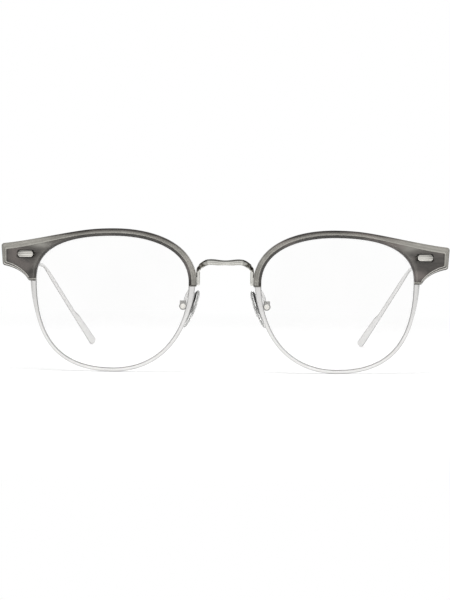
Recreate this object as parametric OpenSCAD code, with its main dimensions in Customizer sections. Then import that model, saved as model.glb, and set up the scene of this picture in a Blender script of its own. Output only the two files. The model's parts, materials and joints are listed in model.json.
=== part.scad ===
// Browline glasses standing open on a table.
// Metal eyewires and bridge, shaped brows screwed on over them, clear lenses and folding metal temples.
// X runs across the front to the wearer's left, Y runs from the front towards the ears, Z is up.
// The lens frame has its origin at a lens centre: x towards the temple, y back, z up.

/* [Lenses] */
// Width of the opening that a lens shows through
opening_w = 49.6; // [44:0.1:60]
// Height of the opening that a lens shows through
opening_h = 42.7; // [36:0.1:50]
// Distance between the two openings over the nose
nose_gap = 23.4; // [22:0.1:28]
// Radius of the curve of the lenses and of the front
front_r = 150; // [120:5:220]
// Turn of each lens back towards its temple, in degrees
wrap_angle = 3; // [0:0.5:5]
// Thickness of a lens
lens_t = 2; // [1.8:0.1:2.4]
// Thickness of the tongue round a lens that sits in the groove
tongue_t = 0.8; // [0.6:0.05:1]
// Depth of the groove in the eyewire
groove_depth = 0.5; // [0.4:0.05:0.6]
// Gap between a lens and its eyewire
lens_gap = 0.05; // [0.03:0.01:0.08]

/* [Eyewires] */
// Face width of the eyewire under the brow
rim_w_hidden = 1; // [0.9:0.05:1.1]
// Face width of the eyewire at the bottom of the lens
rim_w = 1.25; // [1.1:0.05:1.6]
// Face width of the eyewire where it comes out of the brow
rim_w_wide = 2.05; // [1.6:0.05:2.2]
// Length over which that wide part narrows
rim_taper = 12; // [6:0.5:14]
// Depth of the eyewire from front to back
rim_depth = 2; // [1.8:0.1:2.4]
// Gap where the eyewire is split at its lock
split_gap = 0.4; // [0.2:0.1:0.8]

/* [Brows] */
// Height of the brow's band over the middle of a lens
brow_band = 2.45; // [2.3:0.05:3.2]
// How far the brow's front stands ahead of the middle of the lens
brow_front = 2.5; // [2:0.1:3.5]
// How far the nasal end hangs below the lens's widest point
brow_drop_nasal = 1.1; // [0.5:0.1:3]
// How far the temporal end hangs below the lens's widest point
brow_drop_temporal = 0.8; // [0.5:0.1:3]
// Reach of the end piece beyond the edge of the opening
end_reach = 12; // [10:0.1:14]
// Height of the outer side of the end piece
end_side = 5.4; // [4:0.1:7]
// Height of the end piece's top corner above the lens centre
end_top = 18.6; // [16:0.1:20]
// Width of the slope along the brow's outer edge
outer_bevel = 1.45; // [1:0.05:1.8]
// Drop of that slope from its ridge to the outer edge
outer_bevel_drop = 0.8; // [0.3:0.05:1.2]
// Width of the facet along the lens
inner_facet = 0.9; // [0.6:0.05:1]
// Drop of that facet from its ridge to the lens edge
inner_facet_drop = 0.6; // [0.2:0.05:0.9]
// Distance of the flat back of the end piece behind the middle of the front
seat_y = 7.8; // [7:0.1:10]

/* [Plaques] */
// Length of the plaque on each end piece
plaque_l = 5.3; // [4:0.1:7]
// Height of the plaque
plaque_h = 2.15; // [1.6:0.05:3]
// Thickness of the plaque
plaque_t = 0.8; // [0.6:0.05:1.2]
// Depth of the recess that the plaque sits in
recess_depth = 0.45; // [0.2:0.05:0.6]
// Gap round the plaque in its recess
recess_gap = 0.3; // [0.1:0.05:0.4]
// Distance of the plaque's middle from the edge of the opening
plaque_x = 3.55; // [3:0.1:6]
// Height of the plaque's middle above the lens centre
plaque_z = 15.2; // [13:0.1:16]
// Radius of the two rivet pins behind the plaque
rivet_r = 0.5; // [0.4:0.05:0.6]
// Distance between the two rivet pins
rivet_pitch = 2.1; // [1.6:0.1:2.4]

/* [Hinges] */
// Radius of the hinge barrels
barrel_r = 1.05; // [0.9:0.05:1.3]
// Height of one of the five knuckles of a hinge
knuckle_h = 0.86; // [0.7:0.02:1.1]
// Gap between two knuckles
knuckle_gap = 0.03; // [0.02:0.01:0.06]
// Radius of the hinge screw
hinge_screw_r = 0.5; // [0.4:0.05:0.6]
// Running clearance of the hinge screw in the temple's knuckles
hinge_clearance = 0.03; // [0.02:0.01:0.06]
// Thickness of the hinge plates
hinge_plate_t = 0.9; // [0.7:0.05:1.2]
// Distance of the hinge axis beyond the edge of the opening
hinge_out = 6.6; // [6:0.1:8]

/* [Temples] */
// Distance from the hinge to the corner of the ear bend
temple_run = 88; // [70:1:100]
// Height of the ear bend above the table
bend_z = 30.7; // [26:0.1:34]
// How far the ear bend lies inside the hinge axis
bend_in = 0.3; // [-1:0.1:4]
// Length from the ear bend to the tip, seen from the side
ear_run = 28; // [20:0.5:40]
// How far the tip leans in from the ear bend
tip_in = 15.5; // [5:0.1:20]
// Height of the temple at the hinge
temple_h = 4.4; // [3.6:0.1:5]
// Height of the temple just before the ear bend
temple_h_bend = 1.1; // [1:0.1:3]
// Width of the paddle at the temple's end
paddle_w = 2.8; // [2:0.05:5]
// Thickness of the temple at the hinge
temple_t = 1.3; // [1:0.1:1.6]
// Thickness of the temple behind the ear
temple_t_ear = 0.85; // [0.7:0.05:1.4]

/* [Bridge] */
// Height of the bridge's upper edge above the lens centres
bridge_top = 14.2; // [12:0.1:15]
// Height of the bridge bar
bridge_h = 1.85; // [1.3:0.05:2.2]
// Depth of the bridge bar from front to back
bridge_depth = 2; // [1.6:0.1:2.6]
// How far the middle of the bridge stands ahead of the lens centres
bridge_forward = 1.6; // [0.5:0.1:3]
// Width of the bridge's legs
leg_w = 1.3; // [1:0.05:1.5]

/* [Nose pads] */
// Length of a nose pad
pad_l = 13; // [11:0.1:15]
// Width of a nose pad
pad_w = 6.8; // [6:0.1:8]
// Thickness of a nose pad
pad_t = 2; // [1.8:0.1:2.4]
// Lean of the pads from upright, seen from the front, in degrees
pad_lean = 22; // [16:1:28]
// Turn of the pads that opens them towards the face, in degrees
pad_splay = 14; // [8:1:24]
// How far the pad's middle lies from the edge of the opening, towards the nose
pad_out = 0.55; // [0.4:0.05:0.7]
// Distance of the pad's middle behind the lens centres
pad_y = 8.4; // [8:0.1:10]
// Height of the pad's middle below the lens centres
pad_drop = 2.4; // [1:0.1:4]
// Radius of the wire of the pad arms
arm_r = 0.5; // [0.4:0.05:0.6]
// Radius of the round end of a pad box
box_r = 1.25; // [1.15:0.05:1.35]
// Depth of a pad box from front to back
box_depth = 2; // [1.8:0.1:2.4]
// Radius of the pad screw
pad_screw_r = 0.4; // [0.3:0.05:0.5]
// Thickness of the tongue that holds a pad in its box
peg_t = 0.8; // [0.6:0.05:1]
// Running clearance of the tongue in its box
peg_gap = 0.06; // [0.04:0.01:0.1]

/* [Small screws] */
// Radius of the screws that hold the brows
brow_screw_r = 0.35; // [0.3:0.05:0.4]
// Length of the thread of those screws in the brow
brow_screw_l = 1.9; // [1.4:0.1:2.2]
// Thickness of the lugs under those screws
lug_t = 0.5; // [0.4:0.05:0.7]
// Radius of the barrels of the eyewire locks
lock_r = 1; // [0.8:0.05:1.1]
// Length of the two barrels of a lock together
lock_l = 3.2; // [2.6:0.1:3.4]
// Radius of the lock screw
lock_screw_r = 0.45; // [0.35:0.05:0.5]
// Clearance of a screw in a plain hole
screw_gap = 0.03; // [0.02:0.01:0.06]

/* [Hidden] */
$fn = 48;

// Play left between pieces that lie face to face
seat_play = 0.02;
// Stations round the whole lens opening
ring_steps = 88;

// Distance between the two lens centres
lens_pitch = opening_w + nose_gap;
// The brow's back is flush with the eyewire's
brow_back = rim_depth / 2;

// General helpers
function lerp(a, b, t) = a + (b - a) * t;
function ease(t) = let (c = min(max(t, 0), 1)) c * c * (3 - 2 * c);
function bezier(a, b, c, d, t) =
    pow(1 - t, 3) * a + 3 * pow(1 - t, 2) * t * b + 3 * (1 - t) * t * t * c + pow(t, 3) * d;
function bezier_slope(a, b, c, d, t) =
    3 * pow(1 - t, 2) * (b - a) + 6 * (1 - t) * t * (c - b) + 3 * t * t * (d - c);
function quad_bezier(a, b, c, t) = pow(1 - t, 2) * a + 2 * (1 - t) * t * b + t * t * c;
function unit(v) = v / norm(v);
function left_of(v) = [-v[1], v[0]];

// Height of the lens centres, which puts the eyewires on the table
rim_z = opening_h / 2 + rim_w;

// The front's curve: how far it has fallen back at a place in the lens frame
function sag(x, z) = front_r - sqrt(front_r * front_r - x * x - z * z);

// Outline of the opening: four curves between its four outermost points.
// t runs from 0 at the nose over the top at 1, the temple side at 2 and the bottom at 3, back to 4.
half_w = opening_w / 2;
half_h = opening_h / 2;
nasal_tip = [-half_w, 0.3 * half_h];
top_tip = [-0.036 * half_w, half_h];
temporal_tip = [half_w, 0.345 * half_h];
bottom_tip = [0, -half_h];
// Handle lengths of each quarter, as shares of that quarter's height and width
nose_top = [0.7, 0.52];
top_temple = [0.59, 0.74];
temple_bottom = [0.75, 0.61];
bottom_nose = [0.73, 0.45];
rise = top_tip[1] - nasal_tip[1];
fall = top_tip[1] - temporal_tip[1];
quarters = [
    [nasal_tip, nasal_tip + [0, nose_top[0] * rise],
        top_tip - [nose_top[1] * (top_tip[0] - nasal_tip[0]), 0], top_tip],
    [top_tip, top_tip + [top_temple[0] * (temporal_tip[0] - top_tip[0]), 0],
        temporal_tip + [0, top_temple[1] * fall], temporal_tip],
    [temporal_tip, temporal_tip - [0, temple_bottom[0] * (temporal_tip[1] + half_h)],
        bottom_tip + [temple_bottom[1] * half_w, 0], bottom_tip],
    [bottom_tip, bottom_tip - [bottom_nose[0] * half_w, 0],
        nasal_tip - [0, bottom_nose[1] * (nasal_tip[1] + half_h)], nasal_tip]
];
function wrapped(t) = t < 0 ? t + 4 : t >= 4 ? t - 4 : t;
function opening_point(t) =
    let (u = wrapped(t), q = quarters[floor(u)], f = u - floor(u)) bezier(q[0], q[1], q[2], q[3], f);
function opening_normal(t) =
    let (u = wrapped(t), q = quarters[floor(u)], f = u - floor(u))
    left_of(unit(bezier_slope(q[0], q[1], q[2], q[3], f)));
function beside(t, r) = opening_point(t) + r * opening_normal(t);
function outline(r) = [for (i = [0:ring_steps - 1]) beside(4 * i / ring_steps, r)];

// Where the brow starts and ends along the opening
brow_t0 = -brow_drop_nasal / (3 * bottom_nose[1] * (nasal_tip[1] + half_h));
brow_t1 = 2 + brow_drop_temporal / (3 * temple_bottom[0] * (temporal_tip[1] + half_h));
nasal_end_z = nasal_tip[1] - brow_drop_nasal;
temporal_end_z = temporal_tip[1] - brow_drop_temporal;

// Face width of the eyewire: narrow under the brow, widest just below it, then tapering
rim_step = 1.5;
wide_above = 1;
function rim_width(p) =
    let (below = (p[0] < 0 ? nasal_end_z : temporal_end_z) + wide_above - p[1])
    below < 0
        ? lerp(rim_w_wide, rim_w_hidden, ease(-below / rim_step))
        : lerp(rim_w_wide, rim_w, min(below / rim_taper, 1));
// The same as the brow's groove sees it, with room for the widening below
function groove_width(p) = max(rim_width(p), rim_width(p - [0, 0.9])) + 0.05;

// From the lens frame into the frame of the glasses, before the whole is centred over its origin
function from_lens(p) = [
    lens_pitch / 2 + p[0] * cos(wrap_angle) - p[1] * sin(wrap_angle),
    p[0] * sin(wrap_angle) + p[1] * cos(wrap_angle),
    rim_z + p[2]
];
module lens_frame() {
    translate([lens_pitch / 2, 0, rim_z])
        rotate([0, 0, wrap_angle])
            children();
}

// The whole stands with the middle of its box over the origin
front_edge = -bridge_forward - bridge_depth / 2;
rear_reach = 1.85;
rear_edge = seat_y + hinge_plate_t + temple_run + ear_run + rear_reach;
whole_shift = -(front_edge + rear_edge) / 2;
module left_side() {
    translate([0, whole_shift, 0])
        children();
}
module right_side() {
    mirror([1, 0, 0])
        left_side()
            children();
}

// A closed skin over rings of points, one ring after the other, with both ends capped
module skin(rings) {
    n = len(rings[0]);
    last = len(rings) - 1;
    points = [for (ring = rings) each ring];
    sides = [for (i = [0:last - 1]) for (j = [0:n - 1])
        let (k = (j + 1) % n)
        each [[i * n + j, i * n + k, (i + 1) * n + k], [i * n + j, (i + 1) * n + k, (i + 1) * n + j]]];
    start_cap = [[for (j = [0:n - 1]) n - 1 - j]];
    end_cap = [[for (j = [0:n - 1]) last * n + j]];
    polyhedron(points = points, faces = concat(sides, start_cap, end_cap), convexity = 10);
}

// Rings of a bar swept along places, each with its own width and thickness directions
function bar_ring(place, wide, thick, w, t) =
    let (c = 0.3 * min(w, t))
    [for (s = [[1, 1, 0], [1, 1, 1], [-1, 1, 1], [-1, 1, 0], [-1, -1, 0], [-1, -1, 1], [1, -1, 1], [1, -1, 0]])
        place
            + wide * s[0] * (w / 2 - (s[2] == 1 ? c : 0))
            + thick * s[1] * (t / 2 - (s[2] == 0 ? c : 0))];

// Place along the opening at a height, between a lower place and a higher one
function t_at(z, low, high, n = 16) =
    let (m = (low + high) / 2)
    n == 0 ? m : opening_point(m)[1] < z ? t_at(z, m, high, n - 1) : t_at(z, low, m, n - 1);

// Eyewire
lock_z = 10.9;
lock_t = t_at(lock_z, 2, 1.4);
lock_slope = bezier_slope(quarters[1][0], quarters[1][1], quarters[1][2], quarters[1][3], lock_t - 1);
split_t = split_gap / 2 / norm(lock_slope);
wire_chamfer = 0.2;
lip_w = 0.12;
half_depth = rim_depth / 2;
half_groove = tongue_t / 2 + lens_gap;
function wire_profile(w) = [
    [lip_w, half_depth], [0, half_depth - lip_w], [0, half_groove + lip_w], [groove_depth, half_groove],
    [groove_depth, -half_groove], [0, -half_groove - lip_w], [0, lip_w - half_depth], [lip_w, -half_depth],
    [w - wire_chamfer, -half_depth], [w, wire_chamfer - half_depth], [w, half_depth - wire_chamfer],
    [w - wire_chamfer, half_depth]
];
function wire_ring(t) =
    let (w = rim_width(opening_point(t)))
    [for (p = wire_profile(w)) let (q = beside(t, p[0])) [q[0], sag(q[0], q[1]) - p[1], q[1]]];
module eyewire() {
    color("silver")
        lens_frame()
            skin([for (i = [0:ring_steps]) wire_ring(lock_t + split_t + i * (4 - 2 * split_t) / ring_steps)]);
}

// Lens
module curved_slab(front, back, r) {
    difference() {
        intersection() {
            rotate([90, 0, 0])
                linear_extrude(height = 40, center = true)
                    polygon(outline(r));
            translate([0, front_r - front, 0])
                sphere(r = front_r, $fn = 160);
        }
        translate([0, front_r + back, 0])
            sphere(r = front_r, $fn = 160);
    }
}
module lens() {
    color("aliceblue", 0.4)
        lens_frame()
            union() {
                curved_slab(lens_t / 2, lens_t / 2, -lens_gap);
                curved_slab(tongue_t / 2, tongue_t / 2, groove_depth - lens_gap);
            }
}

// Brow: stations from the nasal end over the lens to the lower end of the end piece.
// Each station gives the place along the opening, the outer edge and the outer ridge.
arch_end = 1.2;
arch_steps = 34;
end_x = half_w + end_reach;
// Corners of the end piece's outline, then the same for its ridge
side_top = [end_x, end_top - 0.95];
side_bottom = [end_x - 0.5, end_top - 0.95 - end_side];
arch_out = beside(arch_end, brow_band);
arch_ridge = beside(arch_end, brow_band - outer_bevel);
arch_way = -left_of(opening_normal(arch_end));
top_way = unit([1, -0.1]);
low_out = opening_point(brow_t1) + [2.55, 0];
low_ridge = opening_point(brow_t1) + [1.75, 0];
ridge_top = [side_top[0] - 1.65, side_top[1] - 0.95];
ridge_bottom = [side_bottom[0] - 1.3, side_bottom[1] + 0.45];
function end_piece(u) =
    u < 1 ? [
        bezier(arch_out, arch_out + 7 * arch_way, [end_x - 0.9, end_top] - 8 * top_way, [end_x - 0.9, end_top], u),
        bezier(arch_ridge, arch_ridge + 7 * arch_way, ridge_top - 8 * top_way - [0.2, 0], ridge_top - [0.2, 0], u)]
    : u < 2 ? [
        quad_bezier([end_x - 0.9, end_top], [end_x, end_top - 0.15], side_top, u - 1),
        lerp(ridge_top - [0.2, 0], ridge_top - [0, 0.25], u - 1)]
    : u < 3 ? [lerp(side_top, side_bottom, u - 2), lerp(ridge_top - [0, 0.25], ridge_bottom, u - 2)]
    : u < 4 ? [
        quad_bezier(side_bottom, side_bottom + [-0.05, -0.8], side_bottom + [-0.95, -0.95], u - 3),
        lerp(ridge_bottom, ridge_bottom - [0.35, 0.3], u - 3)]
    : [
        bezier(side_bottom + [-0.95, -0.95], side_bottom + [-3.9, -1.5], low_out + [1.4, 2.7], low_out, u - 4),
        bezier(ridge_bottom - [0.35, 0.3], ridge_bottom - [3, 0.7], low_ridge + [1.4, 3], low_ridge, u - 4)];
// How far along the opening each stretch of the end piece has come
end_marks = [0, 0.56, 0.6, 0.74, 0.78, 1];
function end_t(u) =
    let (i = min(floor(u), 4))
    lerp(arch_end, brow_t1, lerp(end_marks[i], end_marks[i + 1], u - i));
end_steps = [for (i = [1:9]) i / 9, 1.33, 1.67, 2, 2.5, 3, 3.33, 3.67, 4, for (i = [1:7]) 4 + i / 7];
brow_stations = concat(
    [for (i = [0:arch_steps])
        let (t = lerp(brow_t0, arch_end, i / arch_steps))
        [t, beside(t, brow_band), beside(t, brow_band - outer_bevel)]],
    [for (u = end_steps) let (e = end_piece(u)) [end_t(u), e[0], e[1]]]
);
// The back follows the front's curve, then runs out into the flat seat of the hinge
seat_blend = [half_w - 5, half_w + 1.2];
function flat_back(x) = (seat_y - x * sin(wrap_angle)) / cos(wrap_angle);
function back_y(p) =
    lerp(sag(p[0], p[1]) + brow_back, flat_back(p[0]),
        p[1] < temporal_end_z - 1 ? 0 : ease((p[0] - seat_blend[0]) / (seat_blend[1] - seat_blend[0])));
rabbet_floor = half_depth + 0.06;
function brow_ring(s) =
    let (
        inner = opening_point(s[0]),
        inner_ridge = beside(s[0], inner_facet),
        wall = beside(s[0], groove_width(inner)),
        front = function (p, drop) [p[0], sag(p[0], p[1]) - brow_front + drop, p[1]],
        at_back = function (p) [p[0], back_y(p), p[1]],
        floor_y = function (p) [p[0], sag(p[0], p[1]) - rabbet_floor, p[1]]
    )
    [
        floor_y(inner), front(inner, inner_facet_drop), front(inner_ridge, 0), front(s[2], 0),
        front(s[1], outer_bevel_drop), at_back(s[1]), at_back(wall), floor_y(wall)
    ];

// Stands children on the back of the brow over the lens, their +Y pointing backwards
module on_back(t, r) {
    p = beside(t, r);
    translate([p[0], sag(p[0], p[1]) + brow_back, p[1]])
        rotate([-asin(p[1] / front_r), 0, asin(p[0] / front_r)])
            children();
}
// The brow screws: places along the opening, and distance out from it
brow_screw_ts = [0.42, 1.12];
brow_screw_out = 1.6;

plaque_place = [half_w + plaque_x, plaque_z];
module at_plaque() {
    translate([plaque_place[0], sag(plaque_place[0], plaque_place[1]) - brow_front, plaque_place[1]])
        rotate([-asin(plaque_place[1] / front_r), 0, asin(plaque_place[0] / front_r)])
            children();
}
// The middle of the plaque in the frame of the glasses
plaque_middle = from_lens([plaque_place[0], sag(plaque_place[0], plaque_place[1]) - brow_front, plaque_z]);
module at_rivets() {
    for (s = [-1, 1])
        translate([plaque_middle[0] + s * rivet_pitch / 2, 0, plaque_middle[2]])
            children();
}
module along_y(from, to, r) {
    translate([0, from, 0])
        rotate([-90, 0, 0])
            cylinder(r = r, h = to - from);
}
// A pill-shaped plate that faces forwards: from its front at -y to its back
module pill(l, h, front, back) {
    translate([0, back, 0])
        rotate([90, 0, 0])
            linear_extrude(height = back - front)
                union() {
                    square([l - h, h], center = true);
                    for (s = [-1, 1])
                        translate([s * (l - h) / 2, 0])
                            circle(d = h);
                }
}

// The eyewire lock stands beside the wire, its screw along the wire; seen from the lens, +X is away from it
lock_web = 0.35;
lock_out = rim_w_hidden + lock_web + lock_r;
module at_lock() {
    place = beside(lock_t, lock_out);
    translate([place[0], sag(place[0], place[1]), place[1]])
        rotate([0, atan2(-lock_slope[0], -lock_slope[1]), 0])
            children();
}
module lock_pocket() {
    play = 0.2;
    at_lock()
        translate([-lock_r - lock_web - 0.1, -rabbet_floor - 0.05, -lock_l / 2 - play])
            cube([2 * lock_r + lock_web + 0.1 + play, 20, lock_l + 2 * play]);
}
module brow() {
    color("dimgray")
        difference() {
            lens_frame()
                skin([for (s = brow_stations) brow_ring(s)]);
            lens_frame() {
                lock_pocket();
                at_plaque()
                    pill(plaque_l + 2 * recess_gap, plaque_h + 2 * recess_gap, -2, recess_depth);
                for (t = brow_screw_ts)
                    on_back(t, brow_screw_out)
                        along_y(-brow_screw_l, 2, brow_screw_r);
            }
            at_rivets()
                along_y(-5, 20, rivet_r + screw_gap);
        }
}

// Plaque with its two rivet pins, which run through the brow and the hinge plate
rivet_end = seat_y + hinge_plate_t + 0.25;
module plaque() {
    front_y = recess_depth - plaque_t;
    line_pitch = 0.29 * plaque_h;
    color("lightgray")
        union() {
            lens_frame()
                at_plaque()
                    difference() {
                        pill(plaque_l, plaque_h, front_y, recess_depth - seat_play);
                        for (i = [-1:1])
                            translate([0, front_y, i * line_pitch])
                                rotate([0, 90, 0])
                                    cylinder(r = 0.12, h = plaque_l, center = true);
                    }
            at_rivets()
                along_y(plaque_middle[1] + recess_depth - plaque_t / 2, rivet_end, rivet_r);
        }
}

// Hinge: five knuckles on one upright axis, three on the front plate and two on the temple
hinge_x = lens_pitch / 2 + half_w + hinge_out;
knuckle_step = knuckle_h + knuckle_gap;
hinge_z = plaque_middle[2];
hinge_y = seat_y + hinge_plate_t + barrel_r + 0.1;
leaf_off = barrel_r + 0.15;
temple_in = leaf_off + hinge_plate_t * 0.8;
leaf_l = 7;
module at_hinge() {
    translate([hinge_x, hinge_y, hinge_z])
        children();
}
module knuckles(which, r_bore) {
    for (k = which)
        translate([0, 0, k * knuckle_step - knuckle_h / 2])
            difference() {
                union() {
                    cylinder(r = barrel_r, h = knuckle_h);
                    children();
                }
                translate([0, 0, -1])
                    cylinder(r = r_bore, h = knuckle_h + 2);
            }
}
plate_w = hinge_x + barrel_r - plaque_middle[0] + rivet_pitch / 2 + 1.1;
plate_h = 5 * knuckle_step + 0.3;
module hinge_front() {
    color("silver")
        union() {
            difference() {
                translate([hinge_x + barrel_r - plate_w, seat_y + seat_play, hinge_z - plate_h / 2])
                    cube([plate_w, hinge_plate_t - seat_play, plate_h]);
                at_rivets()
                    along_y(0, 20, rivet_r + screw_gap);
            }
            at_hinge()
                knuckles([-2, 0, 2], hinge_screw_r + screw_gap)
                    translate([-barrel_r, seat_y + hinge_plate_t - hinge_y - 0.1, 0])
                        cube([2 * barrel_r, barrel_r + 0.2, knuckle_h]);
        }
}
module hinge_rear() {
    color("silver")
        at_hinge()
            union() {
                knuckles([-1, 1], hinge_screw_r + hinge_clearance)
                    translate([0, -0.8, 0])
                        cube([leaf_off + 0.1, 1.6, knuckle_h]);
                translate([leaf_off, -0.8, -1.5 * knuckle_step])
                    cube([temple_in - leaf_off - seat_play, leaf_l, 3 * knuckle_step]);
            }
}
module hinge_screw() {
    head_h = 0.5;
    reach = 2.5 * knuckle_step;
    color("gainsboro")
        at_hinge()
            difference() {
                union() {
                    translate([0, 0, -reach - 0.15])
                        cylinder(r = hinge_screw_r, h = 2 * reach + 0.3);
                    translate([0, 0, reach + seat_play])
                        cylinder(r = barrel_r * 0.9, h = head_h);
                }
                translate([-2, -0.12, reach + head_h * 0.5])
                    cube([4, 0.24, 1]);
            }
}

// Temple: a flat bar that tapers to the ear bend, then leans in and widens into a paddle
temple_gap = 0.45;
temple_start = [hinge_x + temple_in + temple_t / 2, seat_y + temple_gap, hinge_z];
bend_corner = [hinge_x - bend_in, hinge_y + temple_run, bend_z];
// The temple runs straight back along the hinge's leaf before it leans in
straight_l = leaf_l + 1;
run_drop = (temple_start[2] - bend_z) / (bend_corner[1] - temple_start[1]);
straight_end = temple_start + straight_l * [0, 1, -run_drop];
run_way = unit(bend_corner - straight_end);
bend_reach = 7;
bend_from = bend_corner - bend_reach * run_way;
// Directions of the paddle's width and thickness, before they are squared to the temple
paddle_lean = [-0.68, 0.31, 0.67];
function square_to(v, way) = unit(v - (v * way) * way);
// s runs from 0 at the hinge to 1 at the bend, 2 after it and 3 at the tip
straight_s = 0.1;
// Where the paddle's upper edge steps out, and how far each edge lies from the temple's line before and after
paddle_step = [0.5, 0.6];
shoulder_part = 0.65;
ear_low = 0.3 + temple_h_bend / 2;
paddle_low = 0.65;
neck_high = 0.23 + temple_h_bend / 2;
shoulder_high = shoulder_part * (paddle_w - paddle_low);
tip_round = 0.55;
tip_corner = 1.3;
function ear_way(tip) = unit(tip - bend_corner);
function bend_to(tip) = bend_corner + bend_reach * ear_way(tip);
function temple_way(s, tip) =
    s < straight_s ? unit(straight_end - temple_start)
    : s < 1 ? run_way
    : s < 2 ? unit(lerp(run_way, ear_way(tip), s - 1))
    : ear_way(tip);
function temple_line(s, tip) =
    s < straight_s ? lerp(temple_start, straight_end, s / straight_s)
    : s < 1 ? lerp(straight_end, bend_from, (s - straight_s) / (1 - straight_s))
    : s < 2 ? quad_bezier(bend_from, bend_corner, bend_to(tip), s - 1)
    : lerp(bend_to(tip), tip, s - 2);
function edge_low(s) =
    s < 1 ? lerp(temple_h, temple_h_bend, ease(s * 1.1)) / 2
    : s < 2 ? lerp(temple_h_bend / 2, ear_low, s - 1)
    : lerp(ear_low, paddle_low, s - 2);
function edge_high(s) =
    s < 1 ? edge_low(s)
    : s < 2 ? temple_h_bend / 2
    : lerp(
        lerp(temple_h_bend / 2, neck_high, (s - 2) / paddle_step[0]),
        lerp(shoulder_high, paddle_w - paddle_low, (s - 2 - paddle_step[1]) / (1 - paddle_step[1])),
        ease((s - 2 - paddle_step[0]) / (paddle_step[1] - paddle_step[0])));
function tip_rounding(s, tip) =
    let (left = (3 - s) * norm(tip - bend_to(tip)))
    s < 2 || left > tip_corner ? 1 : lerp(tip_round, 1, sqrt(1 - pow(1 - left / tip_corner, 2)));
function temple_ring(s, tip) =
    let (
        way = temple_way(s, tip),
        wide = square_to(lerp([0, 0, 1], paddle_lean, ease((s - 1) / 1.3)), way),
        w = edge_low(s) + edge_high(s),
        off = (edge_high(s) - edge_low(s)) / 2
    )
    bar_ring(temple_line(s, tip) + off * wide, wide, cross(wide, way), w * tip_rounding(s, tip),
        s < 1 ? lerp(temple_t, temple_t_ear, s) : temple_t_ear);
// The tip is lowered from a first guess until its lowest corner lies on the table
tip_steps = [2.92, 2.96, 2.975, 2.99, 3];
tip_guess = [bend_corner[0] - tip_in, bend_corner[1] + ear_run, 0.5];
tip = tip_guess - [0, 0, min([for (s = tip_steps) each [for (p = temple_ring(s, tip_guess)) p[2]]])];
temple_steps = concat(
    [for (i = [0:10]) i / 10], [for (i = [1:6]) 1 + i / 6], [for (i = [1:22]) 2 + 0.04 * i], tip_steps
);
module temple() {
    color("silver")
        skin([for (s = temple_steps) temple_ring(s, tip)]);
}

// Bridge: a bar between the brows whose ends turn down into legs; feet behind the brows reach the eyewires
leg_edge = nasal_tip - [brow_band, 0];
leg_back = sag(leg_edge[0], leg_edge[1]) + brow_back;
// The leg stands behind the brow's edge and laps it a little, with a free gap in front
leg_lap = 0.35;
leg_free = 0.1;
leg_x = from_lens([leg_edge[0], leg_back, 0])[0] + leg_lap - leg_w / 2;
leg_d = 1.5;
leg_z = rim_z + nasal_end_z + 0.25;
leg_y = from_lens([leg_edge[0], leg_back, 0])[1] + leg_d / 2 + leg_free;
bar_mid = rim_z + bridge_top - bridge_h / 2;
corner_r = 3.1;
corner_in = 3.35;
corner = [leg_x - corner_in, -bridge_forward * 0.4, bar_mid - 0.08];
leg_top = [leg_x, leg_y, corner[2] - corner_r];
function half_bridge(s) =
    s < 1 ? bezier([0, -bridge_forward, bar_mid - 0.35], [2, -bridge_forward, bar_mid - 0.35],
        corner + [-1.8, -bridge_forward * 0.45, 0.3], corner, s)
    : s < 2 ? bezier(corner, corner + [1.3, bridge_forward * 0.33, -0.22], leg_top + [0, -0.2, 1.3], leg_top, s - 1)
    : lerp(leg_top, [leg_x, leg_y, leg_z], s - 2);
function half_way(s) =
    let (d = 0.01, a = max(s - d, 0), b = min(s + d, 3))
    s == 0 ? [1, 0, 0] : unit(half_bridge(b) - half_bridge(a));
function bridge_ring(s) =
    let (way = half_way(s), wide = unit(cross(way, [0, 1, 0])), f = ease(s - 1))
    bar_ring(half_bridge(s), wide, cross(wide, way), lerp(bridge_h, leg_w, f), lerp(bridge_depth, leg_d, f));
bridge_steps = concat([for (i = [0:8]) i / 8], [for (i = [1:8]) 1 + i / 8], [2.5, 3]);
foot_t = t_at(nasal_end_z + 1.9, brow_t0, 0.4);
foot_h = 2;
foot_d = 0.9;
module bridge() {
    // From the leg behind the brow onto the eyewire
    foot_out = brow_band + 0.75;
    color("silver")
        translate([0, whole_shift, 0])
            for (m = [0, 1])
                mirror([m, 0, 0])
                    union() {
                        skin([for (s = bridge_steps) bridge_ring(s)]);
                        lens_frame()
                            on_back(foot_t, foot_out / 2)
                                translate([-foot_out / 2, seat_play, -foot_h / 2])
                                    cube([foot_out - 0.1, foot_d, foot_h]);
                    }
}

// Eyewire lock: two barrels soldered to the ends of the split wire, drawn together by a screw
module rim_lock() {
    half_l = (lock_l - split_gap) / 2;
    color("silver")
        lens_frame()
            at_lock()
                for (m = [0, 1])
                    mirror([0, 0, m])
                        translate([0, 0, split_gap / 2])
                            difference() {
                                union() {
                                    cylinder(r = lock_r, h = half_l);
                                    translate([-lock_r - lock_web + seat_play, -lock_r * 0.8, 0])
                                        cube([lock_r, lock_r * 1.6, half_l]);
                                }
                                translate([0, 0, -1])
                                    cylinder(r = lock_screw_r + screw_gap, h = half_l + 2);
                            }
}
module rim_lock_screw() {
    color("gainsboro")
        lens_frame()
            at_lock()
                cylinder(r = lock_screw_r, h = lock_l + 0.2, center = true);
}

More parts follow.
